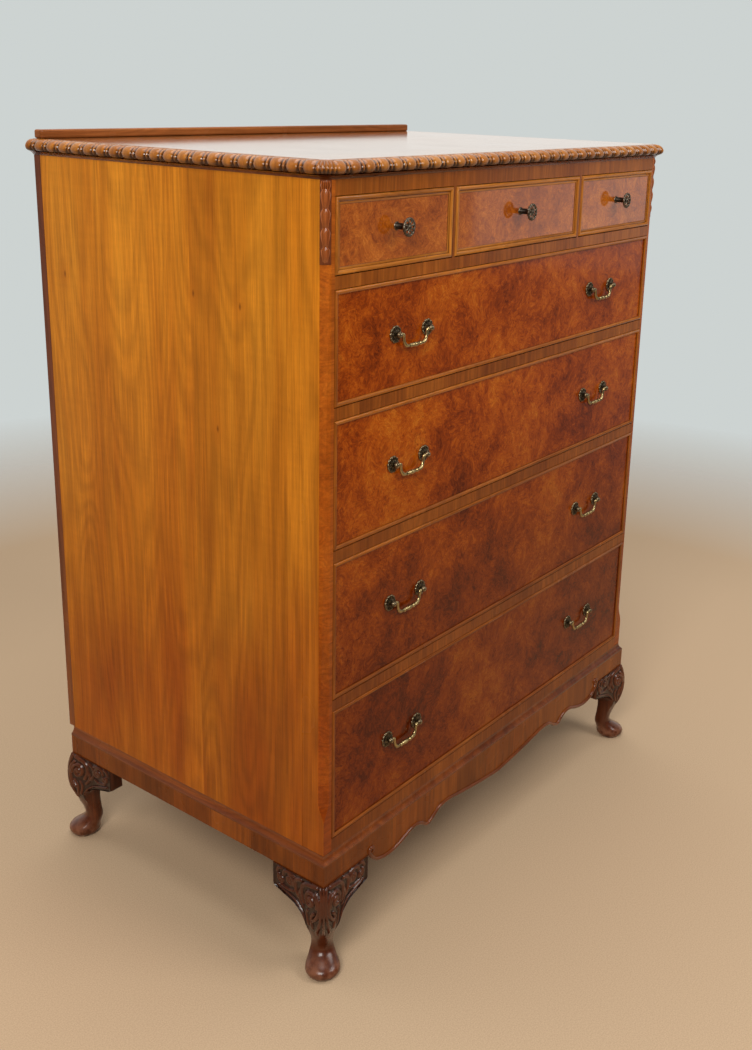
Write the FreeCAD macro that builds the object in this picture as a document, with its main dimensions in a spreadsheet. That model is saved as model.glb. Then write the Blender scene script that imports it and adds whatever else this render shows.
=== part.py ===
import FreeCAD, Part
import math
import os

import Sketcher

# A tall chest of drawers: a carcase with canted, carved front corners holds three small
# drawers over four long ones, and stands on a plinth with a shaped apron and four
# cabriole legs.  Millimetres, +Z up, the front faces -Y, the origin is on the floor
# under the middle of the whole chest.

doc = FreeCAD.newDocument("TallChest")

# ---------------------------------------------------------------- driving dimensions

SIZES = [
    ("body_width", 886.0, "carcase, outside of one side panel to the other"),
    ("body_depth", 575.0, "carcase, front plane to the back"),
    ("wall", 17.2, "side panels and corner posts across X"),
    ("post_depth", 40.0, "front corner post along Y"),
    ("cant", 11.0, "canted outer corner of the front posts"),
    ("cant_stop", 48.0, "square foot of each post below the cant"),
    ("back_stile", 15.0, "rear stiles along Y"),
    ("back_panel", 8.0, "back panel thickness"),
    ("leg_height", 154.0, "floor to the underside of the plinth rails"),
    ("plinth_rail", 32.0, "height of the plinth rails under their moulding"),
    ("plinth_moulding", 14.0, "height of the moulding on the plinth rails"),
    ("plinth_out", 6.0, "plinth face in front of the carcase face"),
    ("plinth_set", 11.7, "carcase overhang behind the plinth"),
    ("rail_wood", 22.0, "thickness of the plinth rails and apron"),
    ("moulding_width", 28.0, "plinth moulding from its outer edge inwards"),
    ("apron_drop", 28.0, "deepest drop of the apron below the side rails"),
    ("bottom_rail", 19.5, "front rail under the lowest drawer"),
    ("front_rail", 16.8, "front rails between drawers"),
    ("frieze_rail", 19.7, "front rail over the small drawers"),
    ("rail_depth", 60.0, "front rails along Y"),
    ("opening_four", 203.5, "opening of the lowest long drawer"),
    ("opening_three", 203.5, "opening of the third long drawer"),
    ("opening_two", 180.0, "opening of the second long drawer"),
    ("opening_one", 153.0, "opening of the first long drawer"),
    ("opening_small", 98.5, "opening of the small drawers"),
    ("middle_opening", 342.2, "width of the middle small drawer's opening"),
    ("divider", 5.6, "upright between two small drawers"),
    ("runner_width", 45.0, "drawer runners and kickers across X"),
    ("dust_board", 8.0, "dust board thickness"),
    ("drawer_gap", 0.8, "clearance round each drawer front"),
    ("side_gap", 1.8, "clearance between a drawer side and the carcase"),
    ("top_gap", 9.0, "clearance over the drawer sides"),
    ("back_gap", 14.0, "space between a closed drawer and the back"),
    ("front_wood", 20.0, "drawer front thickness"),
    ("front_set", 2.0, "drawer front behind the carcase face"),
    ("bead_proud", 1.5, "cock beads in front of the carcase face"),
    ("bead_long", 6.0, "cock bead on the long drawers"),
    ("bead_small", 10.0, "cock bead on the small drawers"),
    ("side_wood", 11.0, "drawer sides and backs"),
    ("bottom_wood", 6.0, "drawer bottoms"),
    ("bottom_lift", 9.0, "drawer bottom above the lower edge of the sides"),
    ("top_thickness", 23.5, "top board"),
    ("top_out", 14.0, "carved edge beyond the carcase, front and sides"),
    ("edge_width", 20.0, "carved edge from its tip inwards"),
    ("edge_height", 18.0, "carved edge"),
    ("gallery_height", 13.0, "low rail at the back of the top"),
    ("gallery_depth", 18.0, "the same along Y"),
    ("gallery_inset", 2.0, "the same, short of the carcase sides"),
    ("husk_cap", 11.0, "carved cap over the husks"),
    ("husk_length", 23.0, "one carved husk"),
    ("husk_width", 13.0, "one carved husk across the cant"),
    ("foot_radius", 26.0, "pad foot at its widest"),
    ("foot_base", 21.0, "pad foot where it meets the floor"),
    ("foot_inset", 11.0, "middle of the foot inside the plinth corner"),
    ("post_block", 42.0, "leg top inside the plinth frame"),
    ("knee_width", 50.0, "knee of the leg at the plinth"),
    ("knee_bulge", 9.0, "swell of the knee past the plinth corner"),
    ("knee_drop", 32.0, "fullest part of the knee below the plinth"),
    ("ankle_half", 14.5, "half the ankle's thickness"),
    ("ankle_back", 11.4, "ankle inside the middle of the foot, along X and Y"),
    ("foot_height", 23.0, "pad foot"),
    ("ear_length", 50.0, "bracket beyond the knee"),
    ("ear_end", 38.0, "height of a bracket at its far end"),
    ("ear_proud", 1.5, "bracket in front of the plinth face"),
    ("ear_wood", 26.0, "bracket thickness"),
    ("block_side", 46.0, "glue block in each plinth corner"),
    ("knob_reach", 21.5, "knob in front of the carcase face"),
    ("knob_radius", 13.0, "knob head"),
    ("knob_head", 4.5, "thickness of the knob head"),
    ("knob_stem", 4.0, "radius of the knob stem"),
    ("knob_rise", 4.0, "knob above the middle of its drawer"),
    ("shank_radius", 2.5, "bolt through the drawer front"),
    ("nut_radius", 6.5, "nut inside the drawer"),
    ("nut_thickness", 3.5, "the same, along the bolt"),
    ("bore_gap", 0.2, "clearance of a bolt in its hole"),
    ("handle_centre", 264.0, "middle of a handle from the middle of the drawer"),
    ("handle_rise", 2.0, "handle above the middle of its drawer"),
    ("post_spacing", 71.0, "between the two posts of a handle"),
    ("rosette_radius", 12.3, "plate round each post"),
    ("rosette_wood", 2.2, "thickness of that plate"),
    ("post_radius", 3.6, "handle post"),
    ("post_head", 4.6, "round head of the post"),
    ("pivot_out", 7.5, "bail pivot in front of the drawer front"),
    ("pin_radius", 1.5, "end of the bail in its post"),
    ("pin_gap", 0.05, "running clearance of the bail in its post"),
    ("bail_radius", 1.9, "bail rod"),
    ("bail_drop", 17.5, "bail bar below its pivot"),
    ("bail_neck", 12.0, "bail side inside its post"),
    ("swell_radius", 2.8, "turned swelling in the middle of the bail"),
    ("swell_length", 20.0, "the same, along the bar"),
]

sheet = doc.addObject("Spreadsheet::Sheet", "dim")
for row, (alias, number, note) in enumerate(SIZES, start=1):
    sheet.set(f"A{row}", note)
    sheet.set(f"B{row}", str(number))
    sheet.setAlias(f"B{row}", alias)
doc.recompute()


def size(expression):
    """Value of an expression in the sheet's terms, in millimetres."""
    return float(sheet.evalExpression(expression))


# ---------------------------------------------------------------- places from the sizes
# Heights and widths are expressions, so every sub-part follows the sheet.  A depth is
# counted back from the carcase's front plane; FACE turns it into the chest's own Y.

REAR_REACH = "(dim.body_depth - dim.plinth_set - dim.foot_inset + dim.foot_radius)"
FACE = f"((dim.knob_reach - {REAR_REACH}) / 2)"
HALF_BODY = "(dim.body_width / 2)"
HALF_INSIDE = "(dim.body_width / 2 - dim.wall)"
HALF_PLINTH = "(dim.body_width / 2 + dim.plinth_out)"
PLINTH_REAR = "(dim.body_depth - dim.plinth_set)"
RAIL_TOP = "(dim.leg_height + dim.plinth_rail)"
BODY_BOTTOM = f"({RAIL_TOP} + dim.plinth_moulding)"

FOUR_LOW = f"({BODY_BOTTOM} + dim.bottom_rail)"
FOUR_HIGH = f"({FOUR_LOW} + dim.opening_four)"
THREE_LOW = f"({FOUR_HIGH} + dim.front_rail)"
THREE_HIGH = f"({THREE_LOW} + dim.opening_three)"
TWO_LOW = f"({THREE_HIGH} + dim.front_rail)"
TWO_HIGH = f"({TWO_LOW} + dim.opening_two)"
ONE_LOW = f"({TWO_HIGH} + dim.front_rail)"
ONE_HIGH = f"({ONE_LOW} + dim.opening_one)"
SMALL_LOW = f"({ONE_HIGH} + dim.front_rail)"
SMALL_HIGH = f"({SMALL_LOW} + dim.opening_small)"
BODY_TOP = f"({SMALL_HIGH} + dim.frieze_rail)"
TOP_SURFACE = f"({BODY_TOP} + dim.top_thickness)"

HALF_MIDDLE = "(dim.middle_opening / 2)"
OUTER_INSIDE = f"({HALF_MIDDLE} + dim.divider)"
BACK_FRONT = "(dim.body_depth - dim.back_stile)"

nodes = []


# ---------------------------------------------------------------- helpers

def keep(label, parts):
    """Makes one named sub-part, a node, of one object or of several separate solids."""
    if len(parts) == 1:
        node = parts[0]
    else:
        node = doc.addObject("Part::Compound", "group_" + label)
        node.Links = parts
    node.Label = label
    nodes.append(node)
    return node


def put(thing, x, y, z):
    """Binds an object's place; y is counted back from the front plane."""
    thing.setExpression("Placement.Base.x", x)
    thing.setExpression("Placement.Base.y", f"({y}) + {FACE}")
    thing.setExpression("Placement.Base.z", z)
    return thing


def board(name, x, y, z):
    """A box between two (low, high) expressions along each axis."""
    box = doc.addObject("Part::Box", name)
    box.setExpression("Length", f"({x[1]}) - ({x[0]})")
    box.setExpression("Width", f"({y[1]}) - ({y[0]})")
    box.setExpression("Height", f"({z[1]}) - ({z[0]})")
    return put(box, x[0], y[0], z[0])


def pair(name, x, y, z):
    """The same board on the left and on the right."""
    left = board(name + "_left", (f"-({x[1]})", f"-({x[0]})"), y, z)
    right = board(name + "_right", x, y, z)
    return [left, right]


def rod(name, radius, length, x, y, z, axis):
    """A cylinder that starts at a point and runs along axis."""
    bar = doc.addObject("Part::Cylinder", name)
    bar.setExpression("Radius", radius)
    bar.setExpression("Height", length)
    turn = FreeCAD.Rotation(FreeCAD.Vector(0, 0, 1), FreeCAD.Vector(*axis))
    bar.Placement = FreeCAD.Placement(FreeCAD.Vector(), turn)
    return put(bar, x, y, z)


def origin_plane(body, role):
    for feature in body.Origin.OriginFeatures:
        if feature.Role == role:
            return feature


def sketch_on(body, role, name, offset=None):
    """A sketch on one of the body's own origin planes, raised by an expression."""
    sketch = body.newObject("Sketcher::SketchObject", name)
    sketch.AttachmentSupport = [(origin_plane(body, role), "")]
    sketch.MapMode = "FlatFace"
    if offset:
        sketch.setExpression("AttachmentOffset.Base.z", offset)
    return sketch


def arc_between(start, end, bulge):
    """A round edge between two points that stands bulge millimetres off the straight
    line, to its left, or to its right where bulge is below zero."""
    chord = end - start
    left = FreeCAD.Vector(-chord.y, chord.x, 0).normalize()
    radius = (chord.Length ** 2 / 4 + bulge ** 2) / (2 * abs(bulge))
    centre = (start + end) * 0.5 + left * (bulge - math.copysign(radius, bulge))
    first, last = (end, start) if bulge > 0 else (start, end)
    circle = Part.Circle(centre, FreeCAD.Vector(0, 0, 1), radius)
    angles = [math.atan2(point.y - centre.y, point.x - centre.x) for point in (first, last)]
    return Part.ArcOfCircle(circle, angles[0], angles[1])


def outline(sketch, corners, bulges=None):
    """Closes an outline through corners given as expressions.  bulges turns the edge
    that starts at a corner into an arc."""
    bulges = bulges or {}
    points = [FreeCAD.Vector(size(x), size(y), 0) for x, y in corners]
    count = len(points)
    for index, start in enumerate(points):
        end = points[(index + 1) % count]
        if index in bulges:
            sketch.addGeometry(arc_between(start, end, bulges[index]), False)
        else:
            sketch.addGeometry(Part.LineSegment(start, end), False)
    ends = [(2, 1) if bulges.get(index, 0) > 0 else (1, 2) for index in range(count)]
    for index, (x, y) in enumerate(corners):
        before = (index - 1) % count
        joint = Sketcher.Constraint("Coincident", before, ends[before][1], index, ends[index][0])
        sketch.addConstraint(joint)
        for kind, expression in (("DistanceX", x), ("DistanceY", y)):
            rule = Sketcher.Constraint(kind, -1, 1, index, ends[index][0], size(expression))
            number = sketch.addConstraint(rule)
            sketch.setExpression(f"Constraints[{number}]", expression)


def pad(body, sketch, name, length, both_ways=False, down=False):
    feature = body.newObject("PartDesign::Pad", name)
    feature.Profile = sketch
    feature.setExpression("Length", length)
    feature.Midplane = both_ways
    feature.Reversed = down
    return feature


def new_body(name):
    return doc.addObject("PartDesign::Body", name)

# ---------------------------------------------------------------- plinth and legs

def rounded_square(sketch, middle, half, corner):
    """A square with rounded corners whose middle is at (middle, middle)."""
    low = f"({middle}) - ({half})"
    high = f"({middle}) + ({half})"
    near = f"{low} + {corner}"
    far = f"{high} - {corner}"
    corners = [(near, low), (far, low), (high, near), (high, far),
               (far, high), (near, high), (low, far), (low, near)]
    rise = -corner * (1 - math.sqrt(0.5))
    outline(sketch, corners, {1: rise, 3: rise, 5: rise, 7: rise})


def make_leg(label, turn, x, y):
    """A cabriole leg of one piece: pad foot, thin ankle, a knee that swells past the
    plinth corner, and a square block that stands inside the plinth frame.  Its own
    origin is under the middle of the foot and its outer corner points to -X -Y."""
    leg = new_body("body_" + label)
    profile = sketch_on(leg, "XZ_Plane", "foot_profile_" + label)
    corners = [
        ("0", "0"), ("dim.foot_base", "0"), ("dim.foot_radius", "dim.foot_height * 0.45"),
        ("dim.foot_radius - 9", "dim.foot_height"), ("0", "dim.foot_height"),
    ]
    outline(profile, corners, {1: -1.4, 2: -2.0})
    foot = leg.newObject("PartDesign::Revolution", "foot_" + label)
    foot.Profile = profile
    foot.ReferenceAxis = (profile, ["V_Axis"])
    foot.Angle = 360

    sections = [
        ("dim.foot_height - 7", "dim.ankle_back * 0.26", "dim.ankle_half + 1.5", 13),
        ("dim.leg_height * 0.23", "dim.ankle_back", "dim.ankle_half", 12),
        ("dim.leg_height * 0.33", "dim.ankle_back * 0.8", "dim.ankle_half - 0.5", 9),
        ("dim.leg_height * 0.43", "dim.ankle_back * 0.48", "dim.ankle_half + 0.8", 8),
        ("dim.leg_height * 0.55", "dim.ankle_back * 0.2", "dim.ankle_half + 3.6", 7),
        ("dim.leg_height * 0.65", "dim.ankle_back * 0.3",
         "dim.ankle_half * 0.45 + (dim.knee_width + dim.knee_bulge) * 0.275", 7),
        ("dim.leg_height - dim.knee_drop",
         "(dim.knee_width * 0.965 - dim.knee_bulge) / 2 - dim.foot_inset",
         "(dim.knee_width * 0.965 + dim.knee_bulge) / 2", 8),
        ("dim.leg_height", "dim.knee_width / 2 - dim.foot_inset", "dim.knee_width / 2", 6),
    ]
    rings = []
    for number, (height, middle, half, corner) in enumerate(sections):
        ring = sketch_on(leg, "XY_Plane", f"ring_{number}_{label}", height)
        rounded_square(ring, middle, half, corner)
        rings.append(ring)
    doc.recompute()
    shaft = leg.newObject("PartDesign::AdditiveLoft", "shaft_" + label)
    shaft.Profile = rings[0]
    shaft.Sections = rings[1:]

    block = sketch_on(leg, "XY_Plane", "block_outline_" + label, "dim.leg_height")
    near = "dim.rail_wood - dim.foot_inset"
    far = f"{near} + dim.post_block"
    outline(block, [(near, near), (far, near), (far, far), (near, far)])
    pad(leg, block, "block_" + label, "dim.plinth_rail")
    leg.Placement = FreeCAD.Placement(FreeCAD.Vector(), FreeCAD.Rotation(turn, 0, 0))
    put(leg, x, y, "0")
    return keep(label, [leg])


FOOT_SIDE = f"({HALF_PLINTH} - dim.foot_inset)"
FOOT_FRONT = "(dim.foot_inset - dim.plinth_out)"
FOOT_REAR = f"({PLINTH_REAR} - dim.foot_inset)"
make_leg("leg_front_left", 0, f"-{FOOT_SIDE}", FOOT_FRONT)
make_leg("leg_front_right", 90, FOOT_SIDE, FOOT_FRONT)
make_leg("leg_rear_right", 180, FOOT_SIDE, FOOT_REAR)
make_leg("leg_rear_left", 270, f"-{FOOT_SIDE}", FOOT_REAR)


def make_ear(name, plane, along, x, y, inwards):
    """A shaped bracket glued beside a knee, under a plinth rail.  along is the side it
    runs to from the plinth corner, inwards the side its thickness goes to."""
    ear = new_body(name)
    outer = "dim.knee_width + dim.ear_length"
    corners = [
        (f"{along} * dim.knee_width", "dim.leg_height"),
        (f"{along} * ({outer})", "dim.leg_height"),
        (f"{along} * ({outer})", "dim.leg_height - dim.ear_end"),
        (f"{along} * dim.knee_width", "dim.leg_height - dim.ear_end - 20"),
    ]
    side = sketch_on(ear, plane, name + "_outline")
    outline(side, corners, {2: 3.0 * along})
    away = inwards > 0 if plane == "XZ_Plane" else inwards < 0
    pad(ear, side, name + "_pad", "dim.ear_wood", down=away)
    return put(ear, x, y, "0")


SIDE_FACE = f"({HALF_PLINTH} + dim.ear_proud)"
FRONT_FACE = "(-dim.plinth_out - dim.ear_proud)"
keep("leg_brackets", [
    make_ear("ear_front_left", "XZ_Plane", 1, f"-{HALF_PLINTH}", FRONT_FACE, 1),
    make_ear("ear_front_right", "XZ_Plane", -1, HALF_PLINTH, FRONT_FACE, 1),
    make_ear("ear_side_left", "YZ_Plane", 1, f"-{SIDE_FACE}", "-dim.plinth_out", 1),
    make_ear("ear_side_right", "YZ_Plane", 1, SIDE_FACE, "-dim.plinth_out", -1),
    make_ear("ear_rear_left", "YZ_Plane", -1, f"-{SIDE_FACE}", PLINTH_REAR, 1),
    make_ear("ear_rear_right", "YZ_Plane", -1, SIDE_FACE, PLINTH_REAR, -1),
])

# The apron is the front rail.  Its lower edge drops in a shallow double curve between
# the brackets, with a small step to each side of a long middle lobe.
EAR_SPAN = f"({HALF_PLINTH} - dim.knee_width - dim.ear_length)"
half_edge = [
    (0.400, 0.38, 1.2), (0.493, 0.43, -1.2), (0.567, 0.95, -0.6), (0.592, 0.90, 0.8),
    (0.636, 0.52, 2.6), (0.722, 0.54, -1.6), (0.837, 0.93, -2.4), (0.946, 0.72, -1.0),
]
apron = new_body("body_apron")
apron_outline = sketch_on(apron, "XZ_Plane", "apron_outline")
corners = [(f"-{HALF_PLINTH}", RAIL_TOP), (f"-{HALF_PLINTH}", "dim.leg_height")]
bulges = {}
corners.append((f"-{EAR_SPAN}", "dim.leg_height"))
for along, drop, bulge in reversed(half_edge):
    bulges[len(corners) - 1] = bulge
    corners.append((f"-{EAR_SPAN} * {along}", f"dim.leg_height - dim.apron_drop * {drop}"))
bulges[len(corners) - 1] = -1.6
corners.append(("0", "dim.leg_height - dim.apron_drop"))
bulges[len(corners) - 1] = -1.6
for along, drop, bulge in half_edge:
    corners.append((f"{EAR_SPAN} * {along}", f"dim.leg_height - dim.apron_drop * {drop}"))
    bulges[len(corners) - 1] = bulge
corners.append((EAR_SPAN, "dim.leg_height"))
corners += [(HALF_PLINTH, "dim.leg_height"), (HALF_PLINTH, RAIL_TOP)]
outline(apron_outline, corners, bulges)
pad(apron, apron_outline, "apron_pad", "dim.rail_wood", down=True)
put(apron, "0", "-dim.plinth_out", "0")
keep("apron", [apron])

RAIL_HEIGHTS = ("dim.leg_height", RAIL_TOP)
APRON_BACK = "dim.rail_wood - dim.plinth_out"
INSIDE_RAILS = f"({HALF_PLINTH} - dim.rail_wood)"
side_rails = pair("side_rail", (INSIDE_RAILS, HALF_PLINTH), (APRON_BACK, PLINTH_REAR), RAIL_HEIGHTS)
back_rail = board("back_rail", (f"-{INSIDE_RAILS}", INSIDE_RAILS),
                  (f"{PLINTH_REAR} - dim.rail_wood", PLINTH_REAR), RAIL_HEIGHTS)
keep("plinth_rails", side_rails + [back_rail])


def glue_block(name, turn, x, y):
    """A three-cornered block in a corner of the plinth frame, behind the leg block."""
    block = new_body(name)
    shape = sketch_on(block, "XY_Plane", name + "_outline", "dim.leg_height")
    outline(shape, [("0", "0"), ("dim.block_side", "0"), ("0", "dim.block_side")])
    pad(block, shape, name + "_pad", "dim.plinth_rail")
    block.Placement = FreeCAD.Placement(FreeCAD.Vector(), FreeCAD.Rotation(turn, 0, 0))
    return put(block, x, y, "0")


BLOCK_SIDE = f"({INSIDE_RAILS} - dim.post_block)"
BLOCK_FRONT = f"({APRON_BACK})"
BLOCK_REAR = f"({PLINTH_REAR} - dim.rail_wood)"
keep("corner_blocks", [
    glue_block("glue_front_left", 0, f"-{BLOCK_SIDE}", BLOCK_FRONT),
    glue_block("glue_front_right", 90, BLOCK_SIDE, BLOCK_FRONT),
    glue_block("glue_rear_right", 180, BLOCK_SIDE, BLOCK_REAR),
    glue_block("glue_rear_left", 270, f"-{BLOCK_SIDE}", BLOCK_REAR),
])


# ---------------------------------------------------------------- mouldings

def moulding(name, profile, bulges, length, reach, slope, mitres, turn, x, y, z):
    """One straight length of moulding.  The profile's first axis runs outwards from the
    line that carries the length, and a mitred end leans by slope for each millimetre."""
    run = new_body(name)
    section = sketch_on(run, "YZ_Plane", name + "_section")
    outline(section, profile, bulges)
    inner = profile[0][0]
    long_half = f"(({length}) / 2 + ({reach}) * {slope})"
    pad(run, section, name + "_pad", f"2 * {long_half}", both_ways=True)
    doc.recompute()
    before = run.Shape.Volume
    for side in mitres:
        cut = sketch_on(run, "XY_Plane", f"{name}_mitre_{side + 1}")
        outline(cut, [
            (f"{side} * (({length}) / 2 + ({inner}) * {slope})", inner),
            (f"{side} * {long_half}", reach),
            (f"{side} * ({long_half} + 5)", reach),
            (f"{side} * ({long_half} + 5)", inner),
        ])
        pocket = run.newObject("PartDesign::Pocket", f"{name}_cut_{side + 1}")
        pocket.Profile = cut
        pocket.Type = "ThroughAll"
        pocket.Midplane = True
    for side in (-1, 1):
        if side in mitres:
            continue
        cut = sketch_on(run, "XY_Plane", f"{name}_square_{side + 1}")
        outline(cut, [
            (f"{side} * ({length}) / 2", f"{inner} - 5"), (f"{side} * ({length}) / 2", f"{reach} + 5"),
            (f"{side} * ({long_half} + 5)", f"{reach} + 5"), (f"{side} * ({long_half} + 5)", f"{inner} - 5"),
        ])
        pocket = run.newObject("PartDesign::Pocket", f"{name}_end_{side + 1}")
        pocket.Profile = cut
        pocket.Type = "ThroughAll"
        pocket.Midplane = True
    doc.recompute()
    if not run.Shape.Volume < before:
        raise RuntimeError(f"{name}: the mitres cut nothing")
    run.Placement = FreeCAD.Placement(FreeCAD.Vector(), FreeCAD.Rotation(turn, 0, 0))
    return put(run, x, y, z)


def three_runs(name, profile, bulges, reach, half, front, rear, z):
    """A moulding round the front and sides of a rectangle, with square corners."""
    side_length = f"({rear} - ({front}))"
    side_middle = f"(({rear} + ({front})) / 2)"
    return [
        moulding(name + "_front", profile, bulges, f"2 * {half}", reach, 1, (-1, 1), 180, "0", front, z),
        moulding(name + "_left", profile, bulges, side_length, reach, 1, (-1,), 90,
                 f"-{half}", side_middle, z),
        moulding(name + "_right", profile, bulges, side_length, reach, 1, (1,), 270,
                 half, side_middle, z),
    ]


plinth_profile = [
    ("-dim.moulding_width", "0"), ("0", "0"), ("0", "3"),
    ("-dim.plinth_out", "dim.plinth_moulding"), ("-dim.moulding_width", "dim.plinth_moulding"),
]
keep("plinth_moulding", three_runs("plinth_moulding", plinth_profile, {2: 1.6}, "0", HALF_PLINTH,
                                   "-dim.plinth_out", PLINTH_REAR, RAIL_TOP))

MITRE_SLOPE = math.tan(math.radians(22.5))


def five_runs(name, profile, bulges, reach, z):
    """A moulding round the front, the two canted corners and the sides of the top."""
    side_length = "(dim.body_depth - dim.cant)"
    side_middle = "((dim.body_depth + dim.cant) / 2)"
    cant_length = f"(dim.cant * {math.sqrt(2)})"
    cant_x = f"({HALF_BODY} - dim.cant / 2)"
    front_length = f"(2 * ({HALF_BODY} - dim.cant))"
    lean = MITRE_SLOPE
    return [
        moulding(name + "_front", profile, bulges, front_length, reach, lean, (-1, 1), 180, "0", "0", z),
        moulding(name + "_cant_left", profile, bulges, cant_length, reach, lean, (-1, 1), 135,
                 f"-{cant_x}", "dim.cant / 2", z),
        moulding(name + "_cant_right", profile, bulges, cant_length, reach, lean, (-1, 1), 225,
                 cant_x, "dim.cant / 2", z),
        moulding(name + "_left", profile, bulges, side_length, reach, lean, (-1,), 90,
                 f"-{HALF_BODY}", side_middle, z),
        moulding(name + "_right", profile, bulges, side_length, reach, lean, (1,), 270,
                 HALF_BODY, side_middle, z),
    ]


EDGE_BACK = "dim.top_out - dim.edge_width"
edge_profile = [
    (EDGE_BACK, "0"), ("dim.top_out - 5", "0"), ("dim.top_out", "dim.edge_height * 0.44"),
    ("dim.top_out - 15", "dim.edge_height"), (EDGE_BACK, "dim.edge_height"),
]
keep("carved_top_edge", five_runs("top_edge", edge_profile, {1: -1.2, 2: -3.0}, "dim.top_out",
                                  f"{TOP_SURFACE} - dim.edge_height"))
UNDER_HEIGHT = "(dim.top_thickness - dim.edge_height)"
under_profile = [
    (EDGE_BACK, "0"), ("0", "0"), ("dim.top_out - 6", UNDER_HEIGHT), (EDGE_BACK, UNDER_HEIGHT),
]
keep("top_under_moulding", five_runs("under", under_profile, {1: 1.2}, "dim.top_out - 6", BODY_TOP))

# ---------------------------------------------------------------- carcase

top = new_body("body_top_board")
top_outline = sketch_on(top, "XY_Plane", "top_outline")
TOP_SIDE = f"({HALF_BODY} + {EDGE_BACK})"
TOP_FRONT = f"(-({EDGE_BACK}))"
lean = MITRE_SLOPE
cant_front = f"({HALF_BODY} - dim.cant + {lean} * ({EDGE_BACK}))"
cant_side = f"(dim.cant - {lean} * ({EDGE_BACK}))"
outline(top_outline, [
    (f"-{cant_front}", TOP_FRONT), (cant_front, TOP_FRONT), (TOP_SIDE, cant_side),
    (TOP_SIDE, "dim.body_depth"), (f"-{TOP_SIDE}", "dim.body_depth"), (f"-{TOP_SIDE}", cant_side),
])
pad(top, top_outline, "top_pad", "dim.top_thickness")
put(top, "0", "0", BODY_TOP)
keep("top_board", [top])

GALLERY_HALF = f"({HALF_BODY} - dim.gallery_inset)"
gallery = board("gallery_rail", (f"-{GALLERY_HALF}", GALLERY_HALF),
                ("dim.body_depth - dim.gallery_depth", "dim.body_depth"),
                (TOP_SURFACE, f"{TOP_SURFACE} + dim.gallery_height"))
keep("back_gallery", [gallery])

BODY_HEIGHTS = (BODY_BOTTOM, BODY_TOP)
panels = pair("side_panel", (HALF_INSIDE, HALF_BODY), ("dim.post_depth", BACK_FRONT), BODY_HEIGHTS)
keep("side_panel_left", [panels[0]])
keep("side_panel_right", [panels[1]])
stiles = pair("rear_stile", (HALF_INSIDE, HALF_BODY), (BACK_FRONT, "dim.body_depth"), BODY_HEIGHTS)
keep("rear_stiles", stiles)
back = board("back", (f"-{HALF_INSIDE}", HALF_INSIDE),
             (f"{BACK_FRONT} + 2", f"{BACK_FRONT} + 2 + dim.back_panel"), BODY_HEIGHTS)
keep("back_panel", [back])


def corner_post(name, side):
    """A front post: square at its foot, with the outer corner canted above."""
    post = new_body(name)
    inner = f"{side} * {HALF_INSIDE}"
    outer = f"{side} * {HALF_BODY}"
    square = sketch_on(post, "XY_Plane", name + "_square")
    outline(square, [(inner, "0"), (outer, "0"), (outer, "dim.post_depth"), (inner, "dim.post_depth")])
    pad(post, square, name + "_foot", "dim.cant_stop")
    canted = sketch_on(post, "XY_Plane", name + "_canted", "dim.cant_stop")
    outline(canted, [
        (inner, "0"), (f"{side} * ({HALF_BODY} - dim.cant)", "0"), (outer, "dim.cant"),
        (outer, "dim.post_depth"), (inner, "dim.post_depth"),
    ])
    pad(post, canted, name + "_shaft", f"{BODY_TOP} - {BODY_BOTTOM} - dim.cant_stop")
    return put(post, "0", "0", BODY_BOTTOM)


keep("corner_posts", [corner_post("post_left", -1), corner_post("post_right", 1)])


def carving(name, side, width, length, z):
    """One leaf of the carved drop, standing on the canted face."""
    leaf = doc.addObject("Part::Wedge", name)
    limits = [
        ("Xmin", f"-({width}) / 2"), ("Xmax", f"({width}) / 2"), ("Ymin", "0"), ("Ymax", "4"),
        ("Zmin", "0"), ("Zmax", length), ("X2min", f"-({width}) / 4"), ("X2max", f"({width}) / 4"),
        ("Z2min", "2"), ("Z2max", f"({length}) * 0.7"),
    ]
    for limit, expression in limits:
        leaf.setExpression(limit, expression)
    turn = FreeCAD.Rotation(-135 * side, 0, 0)
    leaf.Placement = FreeCAD.Placement(FreeCAD.Vector(), turn)
    return put(leaf, f"{side} * ({HALF_BODY} - dim.cant / 2)", "dim.cant / 2", z)


leaves = []
for side, hand in ((-1, "left"), (1, "right")):
    cap_low = f"{BODY_TOP} - dim.husk_cap"
    leaves.append(carving(f"husk_cap_{hand}", side, "dim.husk_width", "dim.husk_cap", cap_low))
    for number in range(1, 5):
        low = f"{cap_low} - dim.husk_length * {number}"
        leaves.append(carving(f"husk_{number}_{hand}", side, "dim.husk_width", "dim.husk_length - 0.5", low))
keep("husk_carvings", leaves)

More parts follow.
